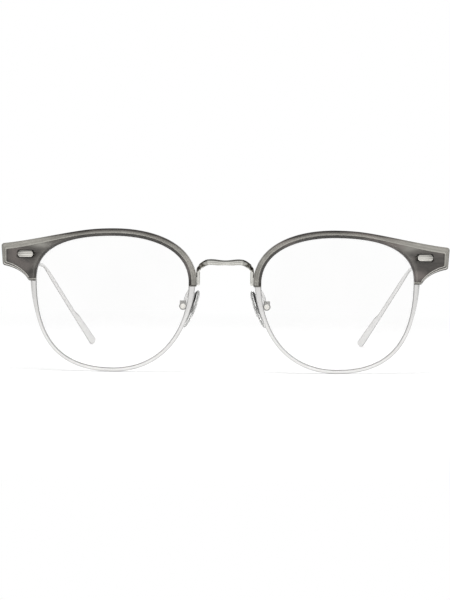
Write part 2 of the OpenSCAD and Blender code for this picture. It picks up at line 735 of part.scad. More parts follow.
// Lugs on the back of the eyewire, and the screws that go through them into the brow
lug_r = 0.8;
module brow_lugs() {
    color("silver")
        lens_frame()
            for (t = brow_screw_ts)
                on_back(t, brow_screw_out)
                    difference() {
                        along_y(seat_play, lug_t, lug_r);
                        along_y(-1, 2, brow_screw_r + screw_gap);
                    }
}
module brow_screws() {
    head_t = 0.35;
    color("gainsboro")
        lens_frame()
            for (t = brow_screw_ts)
                on_back(t, brow_screw_out)
                    difference() {
                        union() {
                            along_y(-brow_screw_l + seat_play, lug_t + seat_play, brow_screw_r - seat_play);
                            along_y(lug_t + seat_play, lug_t + seat_play + head_t, lug_r - 0.15);
                        }
                        translate([-1, lug_t + head_t * 0.5, -0.1])
                            cube([2, 1, 0.2]);
                    }
}

// Nose pads: the middle of a pad, and its own frame with x to the face of the nose and z along it
pad_middle = [nose_gap / 2 - pad_out, pad_y, rim_z - pad_drop];
module pad_frame() {
    translate(pad_middle)
        rotate([0, -pad_lean, 0])
            rotate([0, 0, -pad_splay])
                children();
}
// The pad box, seen from the pad's middle: further from the nose, slightly ahead and higher
box_ahead = 0.5;
box_out = 2.58;
box_up = 0.98;
box_place = pad_middle + [box_out, -box_ahead, box_up];
box_rise = 1.8;
function pad_round(a) = [pad_w / 2 * cos(a), pad_l / 2 * sin(a)];
pad_sides = 24;
// Shells of the pad from its nose side to its box side: place through the thickness, and share of its outline
pad_shells = [
    [-0.5, 0.45], [-0.46, 0.72], [-0.32, 0.92], [-0.08, 1], [0.16, 0.97], [0.36, 0.82], [0.46, 0.6], [0.5, 0.35]
];
module pad_body() {
    skin([for (s = pad_shells)
        [for (i = [0:pad_sides - 1])
            let (a = 360 * i / pad_sides, p = pad_round(a), wedge = 1 - 0.12 * sin(a))
            [s[0] * pad_t, s[1] * p[0] * wedge, s[1] * p[1]]]]);
}
core_r = 2;
core_t = 0.6;
module pad_core_disc(grow) {
    rotate([0, 90, 0])
        cylinder(r = core_r + grow, h = core_t + 2 * grow, center = true);
}
stem_r = 0.6;
// The stem runs across to the box from the place in the pad that lies level with the box's slot
stem_side = -box_ahead / cos(pad_splay);
stem_from = pad_middle + stem_side * [sin(pad_splay) * cos(pad_lean), cos(pad_splay), sin(pad_splay) * sin(pad_lean)];
module pad_stem(r) {
    d = box_place - stem_from;
    translate(stem_from)
        rotate([0, atan2(d[0], d[2]), 0])
            cylinder(r = r, h = norm(d) - box_r * 0.6);
}
module pad() {
    color("whitesmoke", 0.6)
        difference() {
            pad_frame()
                pad_body();
            pad_frame()
                pad_core_disc(seat_play);
            pad_stem(stem_r + seat_play);
        }
}
module pad_core() {
    color("silver")
        difference() {
            union() {
                pad_frame()
                    pad_core_disc(0);
                pad_stem(stem_r);
                translate(box_place)
                    along_y(-peg_t / 2, peg_t / 2, pad_screw_r + 0.4);
            }
            translate(box_place)
                along_y(-2, 2, pad_screw_r + hinge_clearance);
            pad_slot_sides();
        }
}
// Keeps the pad's tongue inside the slot of its box
module pad_slot_sides() {
    for (s = [-1, 1])
        translate([box_place[0] - box_r - 0.3, box_place[1] + (s > 0 ? peg_t / 2 : -peg_t / 2 - 2), box_place[2] - 3])
            cube([2 * box_r + 2, 2, 6]);
}
module pad_box() {
    color("silver")
        translate(box_place)
            difference() {
                union() {
                    along_y(-box_depth / 2, box_depth / 2, box_r);
                    translate([-box_r * 0.85, -box_depth / 2, 0])
                        cube([box_r * 1.7, box_depth, box_rise]);
                }
                translate([-3, -peg_t / 2 - peg_gap, -3])
                    cube([3 + pad_screw_r + 0.55, peg_t + 2 * peg_gap, 3 + pad_screw_r + 0.55]);
                along_y(-5, 5, pad_screw_r + screw_gap);
            }
}
module pad_screw() {
    head_t = 0.4;
    color("gainsboro")
        translate(box_place)
            difference() {
                union() {
                    along_y(-box_depth / 2 - 0.1, box_depth / 2 + 0.1, pad_screw_r);
                    along_y(-box_depth / 2 - 0.1 - head_t, -box_depth / 2 - seat_play, 0.85);
                }
                translate([-1, -box_depth / 2 - 0.1 - head_t - 0.1, -0.1])
                    cube([2, 0.3, 0.2]);
            }
}

// Pad arm: a wire from the back of the eyewire, looped out behind the lens and down onto the box
arm_foot_t = t_at(nasal_end_z - 0.5, -0.5, 0);
arm_foot = let (p = beside(arm_foot_t, 0.55))
    from_lens([p[0], sag(p[0], p[1]) + half_depth + 0.12, p[1]]);
arm_end = box_place + [-0.7, 0, box_rise + 0.02];
arm_line = [arm_foot, arm_foot + [-0.2, 4.2, 0.1], arm_end + [-0.4, 0, 2.5], arm_end];
function arm_place(s) = bezier(arm_line[0], arm_line[1], arm_line[2], arm_line[3], s);
function arm_way(s) =
    s == 1 ? [0, 0, -1] : unit(bezier_slope(arm_line[0], arm_line[1], arm_line[2], arm_line[3], s));
arm_steps = 14;
arm_sides = 8;
module pad_arm() {
    color("silver")
        skin([for (i = [0:arm_steps])
            let (
                way = arm_way(i / arm_steps),
                a = square_to([1, 0, 0], way),
                b = cross(a, way)
            )
            [for (j = [0:arm_sides - 1])
                arm_place(i / arm_steps) + arm_r * (a * cos(360 * j / arm_sides) + b * sin(360 * j / arm_sides))]]);
}

bridge();
right_side() brow();  // right_brow
left_side() brow();  // left_brow
right_side() eyewire();  // right_eyewire
left_side() eyewire();  // left_eyewire
right_side() lens();  // right_lens
left_side() lens();  // left_lens
right_side() rim_lock();  // right_rim_lock
left_side() rim_lock();  // left_rim_lock
right_side() rim_lock_screw();  // right_rim_lock_screw
left_side() rim_lock_screw();  // left_rim_lock_screw
right_side() brow_lugs();  // right_brow_lugs
left_side() brow_lugs();  // left_brow_lugs
right_side() brow_screws();  // right_brow_screws
left_side() brow_screws();  // left_brow_screws
right_side() plaque();  // right_plaque
left_side() plaque();  // left_plaque
right_side() hinge_front();  // right_hinge_front
left_side() hinge_front();  // left_hinge_front
right_side() hinge_rear();  // right_hinge_rear
left_side() hinge_rear();  // left_hinge_rear
right_side() hinge_screw();  // right_hinge_screw
left_side() hinge_screw();  // left_hinge_screw
right_side() temple();  // right_temple
left_side() temple();  // left_temple
right_side() pad_arm();  // right_pad_arm
left_side() pad_arm();  // left_pad_arm
right_side() pad_box();  // right_pad_box
left_side() pad_box();  // left_pad_box
right_side() pad_screw();  // right_pad_screw
left_side() pad_screw();  // left_pad_screw
right_side() pad_core();  // right_pad_core
left_side() pad_core();  // left_pad_core
right_side() pad();  // right_pad
left_side() pad();  // left_pad
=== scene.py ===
import json
import math

import bmesh
import bpy
from mathutils import Matrix, Vector

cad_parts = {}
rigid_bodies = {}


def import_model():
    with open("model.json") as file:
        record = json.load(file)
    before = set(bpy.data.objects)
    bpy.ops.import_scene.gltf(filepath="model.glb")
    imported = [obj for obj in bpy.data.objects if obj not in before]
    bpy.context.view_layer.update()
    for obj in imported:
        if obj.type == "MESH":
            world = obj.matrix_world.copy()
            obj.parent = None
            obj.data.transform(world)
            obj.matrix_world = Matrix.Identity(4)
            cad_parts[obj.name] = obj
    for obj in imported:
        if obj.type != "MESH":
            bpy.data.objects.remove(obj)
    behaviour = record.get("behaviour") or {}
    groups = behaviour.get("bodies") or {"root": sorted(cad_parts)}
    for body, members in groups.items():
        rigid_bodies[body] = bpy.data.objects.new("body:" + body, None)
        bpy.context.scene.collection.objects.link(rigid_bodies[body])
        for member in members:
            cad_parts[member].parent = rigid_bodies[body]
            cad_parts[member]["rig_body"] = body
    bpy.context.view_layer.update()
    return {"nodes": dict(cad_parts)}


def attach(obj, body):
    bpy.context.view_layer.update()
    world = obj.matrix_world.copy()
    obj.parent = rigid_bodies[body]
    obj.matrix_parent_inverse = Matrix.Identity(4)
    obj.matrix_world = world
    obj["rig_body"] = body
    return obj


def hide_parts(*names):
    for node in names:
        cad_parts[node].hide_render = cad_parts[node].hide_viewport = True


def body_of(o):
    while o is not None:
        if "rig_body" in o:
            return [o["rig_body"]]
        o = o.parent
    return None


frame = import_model()
MM = 0.001

# Sizes of the glasses, the same as the CAD's, in millimetres and for PAD_LEAN and PAD_SPLAY in degrees
OPENING_W, OPENING_H, NOSE_GAP = 49.6, 42.7, 23.4
FRONT_R, WRAP = 150.0, math.radians(3)
LENS_T, TONGUE_T, GROOVE, LENS_GAP = 2.0, 0.8, 0.5, 0.05
RIM_HIDDEN, RIM_W, RIM_WIDE, RIM_TAPER, RIM_DEPTH, SPLIT_GAP = 1.0, 1.25, 2.05, 12.0, 2.0, 0.4
BAND, BROW_FRONT, BROW_BACK = 2.45, 2.5, 1.0
DROP_NASAL, DROP_TEMPORAL = 1.1, 0.8
END_REACH, END_SIDE, END_TOP = 12.0, 5.4, 18.6
BEVEL, BEVEL_DROP, FACET, FACET_DROP = 1.45, 0.8, 0.9, 0.6
SEAT_Y = 7.8
PLAQUE_L, PLAQUE_H, PLAQUE_T, RECESS, RECESS_GAP = 5.3, 2.15, 0.8, 0.45, 0.3
PLAQUE_X, PLAQUE_Z = 3.55, 15.2
BARREL_R, PLATE_T, HINGE_OUT = 1.05, 0.9, 6.6
TEMPLE_RUN, BEND_Z, BEND_IN, EAR_RUN, TIP_IN, TIP_REACH = 88.0, 30.7, 0.3, 28.0, 15.5, 1.85
TEMPLE_H, TEMPLE_H_BEND, PADDLE_W, TEMPLE_T, TEMPLE_T_EAR = 4.4, 1.1, 2.8, 1.3, 0.85
BRIDGE_TOP, BRIDGE_H, BRIDGE_D, BRIDGE_FORWARD = 14.2, 1.85, 2.0, 1.6
LEG_W, LEG_D, LEG_LAP, LEG_FREE, CORNER_IN, CORNER_R = 1.3, 1.5, 0.35, 0.1, 3.35, 3.1
FOOT_H, FOOT_D, SEAT_PLAY = 2.0, 0.9, 0.02
PAD_L, PAD_W, PAD_T, PAD_LEAN, PAD_SPLAY = 13.0, 6.8, 2.0, 22.0, 14.0
PAD_OUT, PAD_Y, PAD_DROP, ARM_R = 0.55, 8.4, 2.4, 0.5
BOX_OUT, BOX_AHEAD, BOX_UP, BOX_RISE = 2.58, 0.5, 0.98, 1.8
LOCK_R, LOCK_L, LOCK_WEB, LOCK_Z = 1.0, 3.2, 0.35, 10.9

HALF_W, HALF_H = OPENING_W / 2, OPENING_H / 2
LENS_PITCH = OPENING_W + NOSE_GAP
RIM_Z = HALF_H + RIM_W
FRONT_EDGE = -BRIDGE_FORWARD - BRIDGE_D / 2
REAR_EDGE = SEAT_Y + PLATE_T + TEMPLE_RUN + EAR_RUN + TIP_REACH
# moves the middle of the glasses' depth to y = 0
SHIFT = -(FRONT_EDGE + REAR_EDGE) / 2


def V(*a):
    return Vector(a)


def lerp(a, b, t):
    return a + (b - a) * t


def clamp(t, lo=0.0, hi=1.0):
    return min(max(t, lo), hi)


def ease(t):
    t = clamp(t)
    return t * t * (3 - 2 * t)


def bezier(a, b, c, d, t):
    return (1 - t) ** 3 * a + 3 * (1 - t) ** 2 * t * b + 3 * (1 - t) * t * t * c + t ** 3 * d


def bezier_slope(a, b, c, d, t):
    return 3 * (1 - t) ** 2 * (b - a) + 6 * (1 - t) * t * (c - b) + 3 * t * t * (d - c)


def quad(a, b, c, t):
    return (1 - t) ** 2 * a + 2 * (1 - t) * t * b + t * t * c


def left_of(v):
    return V(-v[1], v[0])


def sag(x, z):
    return FRONT_R - math.sqrt(FRONT_R ** 2 - x * x - z * z)


# The lens opening's outline, in the lens frame (x towards the temple, z up): four curves between its
# outermost points, from the nose over the top, the temple side and the bottom back to the nose
NASAL, TOP = V(-HALF_W, 0.3 * HALF_H), V(-0.036 * HALF_W, HALF_H)
TEMPORAL, BOTTOM = V(HALF_W, 0.345 * HALF_H), V(0, -HALF_H)
RISE, FALL = TOP[1] - NASAL[1], TOP[1] - TEMPORAL[1]
# handle lengths of each quarter, as shares of its height and width
NOSE_TOP, TOP_TEMPLE, TEMPLE_BOTTOM, BOTTOM_NOSE = (0.7, 0.52), (0.59, 0.74), (0.75, 0.61), (0.73, 0.45)
TEMPORAL_PULL = TEMPLE_BOTTOM[0] * (TEMPORAL[1] + HALF_H)
NASAL_PULL = BOTTOM_NOSE[1] * (NASAL[1] + HALF_H)
QUARTERS = [
    (NASAL, NASAL + V(0, NOSE_TOP[0] * RISE), TOP - V(NOSE_TOP[1] * (TOP[0] - NASAL[0]), 0), TOP),
    (TOP, TOP + V(TOP_TEMPLE[0] * (TEMPORAL[0] - TOP[0]), 0),
     TEMPORAL + V(0, TOP_TEMPLE[1] * FALL), TEMPORAL),
    (TEMPORAL, TEMPORAL - V(0, TEMPORAL_PULL), BOTTOM + V(TEMPLE_BOTTOM[1] * HALF_W, 0), BOTTOM),
    (BOTTOM, BOTTOM - V(BOTTOM_NOSE[0] * HALF_W, 0), NASAL - V(0, NASAL_PULL), NASAL),
]


def quarter(t):
    t %= 4.0
    i = min(int(t), 3)
    return QUARTERS[i], t - i


def opening(t):
    q, f = quarter(t)
    return bezier(*q, f)


def normal(t):
    q, f = quarter(t)
    return left_of(bezier_slope(*q, f).normalized())


def beside(t, r):
    return opening(t) + r * normal(t)


# where the brow starts and ends along the opening, and at which heights
BROW_T0, BROW_T1 = -DROP_NASAL / (3 * NASAL_PULL), 2 + DROP_TEMPORAL / (3 * TEMPORAL_PULL)
NASAL_END, TEMPORAL_END = NASAL[1] - DROP_NASAL, TEMPORAL[1] - DROP_TEMPORAL
# how far above the brow's end the wire becomes widest, and the height over which it widens before that
WIDE_ABOVE, RIM_STEP = 1, 1.5
# how far below its place the brow's groove still has room for the wire, and how much wider it is
GROOVE_REACH, GROOVE_PLAY = 0.9, 0.05


def rim_width(p):
    """The wire's width: narrow under the brow, widest at the brow's ends, then tapering."""
    below = (NASAL_END if p[0] < 0 else TEMPORAL_END) + WIDE_ABOVE - p[1]
    if below < 0:
        return lerp(RIM_WIDE, RIM_HIDDEN, ease(-below / RIM_STEP))
    return lerp(RIM_WIDE, RIM_W, min(below / RIM_TAPER, 1))


def groove_width(p):
    """The same as the brow's groove sees it, with room for the widening below."""
    return max(rim_width(p), rim_width(p - V(0, GROOVE_REACH))) + GROOVE_PLAY


def t_at(z, low, high):
    """Where the outline has the height z, between a place where it is lower and one where it is higher."""
    for _ in range(16):
        m = (low + high) / 2
        low, high = (m, high) if opening(m)[1] < z else (low, m)
    return (low + high) / 2


LENS_TO_GLASSES = Matrix.Translation((LENS_PITCH / 2, 0, RIM_Z)) @ Matrix.Rotation(WRAP, 4, "Z")


def from_lens(x, y, z):
    return LENS_TO_GLASSES @ V(x, y, z)


# Mesh helpers. Everything is made for the left side, in millimetres, and mirrored for the right
def corner(points, i, r, n):
    """The short curve that takes the place of one corner of a closed ring."""
    p, a, b = points[i], points[i - 1], points[(i + 1) % len(points)]
    pa = p + (a - p).normalized() * min(r, (a - p).length * 0.45)
    pb = p + (b - p).normalized() * min(r, (b - p).length * 0.45)
    return [quad(pa, p, pb, j / (n - 1)) for j in range(n)]


def rounded(points, r, n):
    """A closed ring of points with each corner replaced by a short curve."""
    return [q for i in range(len(points)) for q in corner(points, i, r, n)]


def loft(rings, closed=False):
    """Vertices and faces of a skin over rings of points."""
    n, m = len(rings[0]), len(rings)
    verts = [p for ring in rings for p in ring]
    faces = []
    for i in range(m if closed else m - 1):
        j = (i + 1) % m
        for k in range(n):
            after = (k + 1) % n
            faces.append((i * n + k, i * n + after, j * n + after, j * n + k))
    if not closed:
        faces.append(tuple(n - 1 - k for k in range(n)))
        faces.append(tuple((m - 1) * n + k for k in range(n)))
    return verts, faces


def round_ends(rings, r, n=4, ends=(True, True)):
    """Adds shrinking rings at the ends of an open loft, so that its ends aren't knife-sharp."""
    def cap(ring, inner):
        c = sum(ring, V(0, 0, 0)) / len(ring)
        ci = sum(inner, V(0, 0, 0)) / len(inner)
        way = (c - ci).normalized()
        out = []
        for k in range(n + 1):
            a = math.pi / 2 * k / n
            shift = -r * (1 - math.sin(a))
            pull = r * (1 - math.cos(a))
            out.append([p + way * shift + (c - p).normalized() * min(pull, (c - p).length * 0.5)
                        for p in ring])
        return out
    body = list(rings)
    if ends[0]:
        body = list(reversed(cap(body[0], body[1]))) + body[1:]
    if ends[1]:
        body = body[:-1] + cap(body[-1], body[-2])
    return body


def piece(name, verts, faces, material, body, nodes=(), slot=None, mirror=False, sharp=32, marks=None):
    """One piece of the model. Edges steeper than sharp degrees stay crisp, and marks of painted light and
    shade drive its material.
    """
    me = bpy.data.meshes.new(name)
    s = -1 if mirror else 1
    pts = [(s * p[0] * MM, (p[1] + SHIFT) * MM, p[2] * MM) for p in verts]
    me.from_pydata(pts, [], [tuple(reversed(f)) if mirror else f for f in faces])
    me.validate()
    if marks:
        at = me.attributes.new("mark", "FLOAT", "POINT")
        at.data.foreach_set("value", marks)
    bm = bmesh.new()
    bm.from_mesh(me)
    bmesh.ops.remove_doubles(bm, verts=bm.verts, dist=1e-7)
    bmesh.ops.recalc_face_normals(bm, faces=bm.faces)
    limit = math.radians(sharp)
    for f in bm.faces:
        f.smooth = True
    for e in bm.edges:
        if len(e.link_faces) == 2 and e.calc_face_angle(0) > limit:
            e.smooth = False
    bm.to_mesh(me)
    bm.free()
    o = bpy.data.objects.new(name, me)
    bpy.context.scene.collection.objects.link(o)
    me.materials.append(material)
    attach(o, body)
    if nodes:
        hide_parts(*nodes)
    return o


def both(name, made, material, bodies, node, slot, **more):
    """The same piece on the left and on the right."""
    verts, faces, marks = made if len(made) == 3 else made + (None,)
    out = []
    for side, body, flip in (("left", bodies[0], False), ("right", bodies[1], True)):
        nodes = (side + "_" + node,)
        out.append(piece(side + "_" + name, verts, faces, material, body, nodes, slot, flip,
                         marks=marks, **more))
    return out


# Materials
def srgb(text):
    c = [int(text[i:i + 2], 16) / 255 for i in (1, 3, 5)]
    return tuple(v / 12.92 if v <= 0.04045 else ((v + 0.055) / 1.055) ** 2.4 for v in c) + (1.0,)


class Mat:
    """A material whose Principled shader is driven by chains of nodes."""

    def __init__(self, name):
        self.m = bpy.data.materials.new(name)
        self.m.use_nodes = True
        self.t = self.m.node_tree
        self.p = self.t.nodes["Principled BSDF"]
        self.coord = self.t.nodes.new("ShaderNodeTexCoord").outputs["Object"]

    def set(self, **kw):
        for k, v in kw.items():
            self.p.inputs[k.replace("_", " ")].default_value = v
        return self

    def node(self, kind, **inputs):
        n = self.t.nodes.new("ShaderNode" + kind)
        for k, v in inputs.items():
            self.put(n, k.replace("_", " "), v)
        return n

    def put(self, n, key, v):
        sock = n.inputs[key]
        if isinstance(v, bpy.types.NodeSocket):
            self.t.links.new(v, sock)
        else:
            sock.default_value = v

    def mapping(self, scale, rotation=(0, 0, 0)):
        n = self.node("Mapping", Vector=self.coord)
        n.inputs["Scale"].default_value = scale
        n.inputs["Rotation"].default_value = rotation
        return n.outputs["Vector"]

    def noise(self, vector, scale, detail=3.0, rough=0.5, distort=0.0):
        return self.node("TexNoise", Vector=vector, Scale=scale, Detail=detail, Roughness=rough,
                         Distortion=distort).outputs["Fac"]

    def span(self, value, a, b, c=0.0, d=1.0):
        n = self.node("MapRange", Value=value)
        for k, v in (("From Min", a), ("From Max", b), ("To Min", c), ("To Max", d)):
            n.inputs[k].default_value = v
        return n.outputs["Result"]

    def mix(self, fac, a, b):
        n = self.t.nodes.new("ShaderNodeMix")
        n.data_type = "RGBA"
        for i, v in ((0, fac), (6, a), (7, b)):
            self.put(n, i, v)
        return n.outputs[2]

    def mark(self):
        """The piece's own marks: painted shade on metal and silicone, and on acetate painted light, painted
        shade and a paler streak.
        """
        n = self.t.nodes.new("ShaderNodeAttribute")
        n.attribute_name = "mark"
        return n.outputs["Fac"]

    def math(self, op, a, b=0.0):
        n = self.t.nodes.new("ShaderNodeMath")
        n.operation = op
        for i, v in ((0, a), (1, b)):
            self.put(n, i, v)
        return n.outputs[0]

    def out(self, **links):
        for k, v in links.items():
            self.t.links.new(v, self.p.inputs[k.replace("_", " ")])

    def bump(self, height, strength, distance):
        n = self.node("Bump", Height=height)
        n.inputs["Strength"].default_value = strength
        n.inputs["Distance"].default_value = distance
        self.t.links.new(n.outputs["Normal"], self.p.inputs["Normal"])


def metal(name, light, dark, rough, grain, stretch=(1, 1, 1), worn=0.5, painted_shade="#6f6e6a"):
    """Polished metal with fine brushing, faint tarnish and uneven gloss, with painted shade in its grooves
    and on its edges.
    """
    m = Mat(name).set(Metallic=1.0)
    fine = m.noise(m.mapping(stretch), 9000, 4, 0.6)
    cloud = m.noise(m.coord, 260, 3, 0.55)
    spots = m.span(m.noise(m.coord, 1500, 2, 0.6), 0.62, 0.76)
    tone = m.math("ADD", m.math("MULTIPLY", cloud, worn), m.math("MULTIPLY", fine, 0.25))
    colour = m.mix(m.span(tone, 0.2, 0.75), srgb(light), srgb(dark))
    colour = m.mix(m.math("MULTIPLY", spots, 0.12), colour, srgb(dark))
    # painted shade where the piece's marks say: in grooves and on edges
    m.out(Base_Color=m.mix(m.mark(), colour, srgb(painted_shade)))
    m.out(Roughness=m.span(m.math("ADD", fine, cloud), 0.6, 1.4, rough - grain, rough + grain))
    m.bump(fine, 0.06, 0.00003)
    return m.m


FRAME_METAL = metal("frame_metal", "#e0dfde", "#d0cfcd", 0.18, 0.05, (0.2, 1, 1), painted_shade="#3c3b3a")
BRIDGE_METAL = metal("bridge_metal", "#dcdbd6", "#bfbeb6", 0.16, 0.05, (0.15, 1, 1), painted_shade="#5b5a52")
TEMPLE_METAL = metal("temple_metal", "#e6e5e4", "#d8d7d5", 0.3, 0.04, (1, 0.08, 1), 0.4, "#4c4b49")
PLAQUE_METAL = metal("plaque_metal", "#f6f4ee", "#e6e3db", 0.24, 0.04, (0.1, 1, 1), painted_shade="#6e6b64")
HINGE_METAL = metal("hinge_metal", "#c9c9c5", "#a3a29c", 0.3, 0.08)
SCREW_STEEL = metal("screw_steel", "#b9b9b6", "#8f8f8b", 0.26, 0.07, (1, 6, 1))
BOX_METAL = metal("box_metal", "#a09f9c", "#7b7a77", 0.2, 0.06)
# darker than the other metals, so that the pad's core seen through the silicone gives painted shade
PAD_METAL = metal("pad_metal", "#5e5e5b", "#444441", 0.3, 0.08)


def acetate():
    """Grey-brown crystal acetate: dark in its body, with drawn-out streaks; light is painted pale on its
    bevels and ridges, and shade painted near-black in fine lines and the recess.
    """
    m = Mat("brow_acetate").set(Metallic=0.0, IOR=1.48, Coat_Weight=0.1, Coat_Roughness=0.05)
    along = m.mapping((0.16, 0.5, 1.0), (0, math.radians(-12), 0))
    streak = m.noise(along, 420, 4, 0.55, 0.6)
    broad = m.noise(m.mapping((0.5, 0.5, 0.8)), 130, 2, 0.5)
    fleck = m.noise(m.coord, 1600, 2, 0.5)
    body = m.mix(m.span(streak, 0.34, 0.66), srgb("#3a3733"), srgb("#56524e"))
    body = m.mix(m.math("MULTIPLY", m.span(broad, 0.5, 0.66), 0.75), body, srgb("#827975"))
    # painted light on the bevels, with a painted highlight where marks pass 1
    painted_light = m.mix(m.span(streak, 0.35, 0.65), srgb("#a09e97"), srgb("#b4b2aa"))
    painted_light = m.mix(m.span(m.mark(), 1, 1.4), painted_light, srgb("#dedbd4"))
    # painted shade where marks fall below 0
    body = m.mix(m.span(m.mark(), 0, -1), body, srgb("#191715"))
    m.out(Base_Color=m.mix(m.span(m.mark(), 0, 1), body, painted_light))
    m.out(Roughness=m.span(fleck, 0.3, 0.7, 0.16, 0.22))
    m.bump(m.noise(m.coord, 260, 1, 0.5), 0.05, 0.00005)
    return m.m


ACETATE = acetate()


def glass(name, colour, ior, rough):
    """Clear glass: a faint tint that varies a little, and light surface wear in its gloss."""
    m = Mat(name).set(Metallic=0.0, IOR=ior, Transmission_Weight=1.0)
    cloud = m.noise(m.coord, 90, 2, 0.5)
    smear = m.noise(m.mapping((0.4, 1, 1), (0, 0.5, 0)), 300, 4, 0.6)
    tint = tuple(c * 0.97 for c in colour[:3]) + (1.0,)
    m.out(Base_Color=m.mix(cloud, colour, tint))
    m.out(Roughness=m.span(smear, 0.4, 0.8, rough, rough + 0.02))
    return m.m


LENS_GLASS = glass("lens_glass", (0.995, 0.995, 0.994, 1), 1.5, 0.0)


def silicone():
    """Clear, slightly milky silicone, with painted shade where marked: dark and less see-through in a band
    along its edge.
    """
    m = Mat("pad_silicone").set(Metallic=0.0, IOR=1.38, Transmission_Weight=0.8)
    cloud = m.noise(m.coord, 300, 2, 0.5)
    clear = m.mix(cloud, (0.93, 0.93, 0.92, 1), (0.86, 0.86, 0.85, 1))
    # painted shade: dark, and less see-through, where the pad is marked
    m.out(Base_Color=m.mix(m.mark(), clear, srgb("#1b1a19")))
    m.out(Roughness=m.span(m.noise(m.coord, 900, 3, 0.6), 0.35, 0.7, 0.03, 0.09))
    m.out(Transmission_Weight=m.span(m.mark(), 0, 1, 0.8, 0.15))
    return m.m


SILICONE = silicone()


# Brow
ARCH_END = 1.2
END_X, END_CORNER = HALF_W + END_REACH, 0.95
SIDE_TOP = V(END_X, END_TOP - END_CORNER)
SIDE_BOTTOM = V(END_X - 0.5, END_TOP - END_CORNER - END_SIDE)
ARCH_OUT, ARCH_RIDGE = beside(ARCH_END, BAND), beside(ARCH_END, BAND - BEVEL)
ARCH_WAY = -left_of(normal(ARCH_END))
TOP_WAY = V(1, -0.1).normalized()
LOW_OUT, LOW_RIDGE = opening(BROW_T1) + V(2.55, 0), opening(BROW_T1) + V(1.75, 0)
RIDGE_TOP, RIDGE_BOTTOM = SIDE_TOP + V(-1.65, -0.95), SIDE_BOTTOM + V(-1.3, 0.45)
# where along the opening's edge each stretch of the end piece's outline begins
END_STARTS = [0, 0.56, 0.6, 0.74, 0.78, 1]
# cross-sections along the arch and along each stretch of the end piece
ARCH_STEPS, END_STEPS = 150, (36, 8, 8, 8, 30)


def end_piece(u):
    """The end piece's outline and ridge, u from 0 to 5 along its top, corner, side, corner and lower edge."""
    top = V(END_X - 0.9, END_TOP)
    if u < 1:
        return (bezier(ARCH_OUT, ARCH_OUT + 7 * ARCH_WAY, top - 8 * TOP_WAY, top, u),
                bezier(ARCH_RIDGE, ARCH_RIDGE + 7 * ARCH_WAY, RIDGE_TOP - 8 * TOP_WAY - V(0.2, 0),
                       RIDGE_TOP - V(0.2, 0), u))
    if u < 2:
        return (quad(top, V(END_X, END_TOP - 0.15), SIDE_TOP, u - 1),
                lerp(RIDGE_TOP - V(0.2, 0), RIDGE_TOP - V(0, 0.25), u - 1))
    if u < 3:
        return lerp(SIDE_TOP, SIDE_BOTTOM, u - 2), lerp(RIDGE_TOP - V(0, 0.25), RIDGE_BOTTOM, u - 2)
    turn = SIDE_BOTTOM + V(-0.95, -0.95)
    if u < 4:
        return (quad(SIDE_BOTTOM, SIDE_BOTTOM + V(-0.05, -0.8), turn, u - 3),
                lerp(RIDGE_BOTTOM, RIDGE_BOTTOM - V(0.35, 0.3), u - 3))
    ridge = RIDGE_BOTTOM - V(0.35, 0.3)
    return (bezier(turn, SIDE_BOTTOM + V(-3.9, -1.5), LOW_OUT + V(1.4, 2.7), LOW_OUT, u - 4),
            bezier(ridge, RIDGE_BOTTOM - V(3, 0.7), LOW_RIDGE + V(1.4, 3), LOW_RIDGE, u - 4))


def end_t(u):
    i = min(int(u), 4)
    return lerp(ARCH_END, BROW_T1, lerp(END_STARTS[i], END_STARTS[i + 1], u - i))


# between these two places the brow's back runs out into the hinge's seat
SEAT_BLEND = (HALF_W - 5, HALF_W + 1.2)


def back_y(p):
    """The brow's back: it follows the lens, and on the end piece it is the hinge plate's flat seat."""
    s = ease((p[0] - SEAT_BLEND[0]) / (SEAT_BLEND[1] - SEAT_BLEND[0])) if p[1] >= TEMPORAL_END - 1 else 0
    return lerp(sag(*p) + BROW_BACK, (SEAT_Y - p[0] * math.sin(WRAP)) / math.cos(WRAP), s)


# half the depth of the room for the wire in the brow
RABBET = RIM_DEPTH / 2 + 0.06
FACE_STEPS, CORNER_STEPS, BROW_ROUND = 8, 4, 0.22
# a paler streak: its middle, its size, its slope and how pale it is
STREAK_AT, STREAK_SIZE, STREAK_TILT, STREAK_MARK = V(23.5, 18.4), V(3.8, 1.2), 0.12, 0.6


def streak(p):
    """A paler streak across the face where the arch meets the end piece."""
    x, z = p[0] - STREAK_AT[0], p[1] - STREAK_AT[1]
    return STREAK_MARK * math.exp(-(x / STREAK_SIZE[0]) ** 2 - ((z - STREAK_TILT * x) / STREAK_SIZE[1]) ** 2)


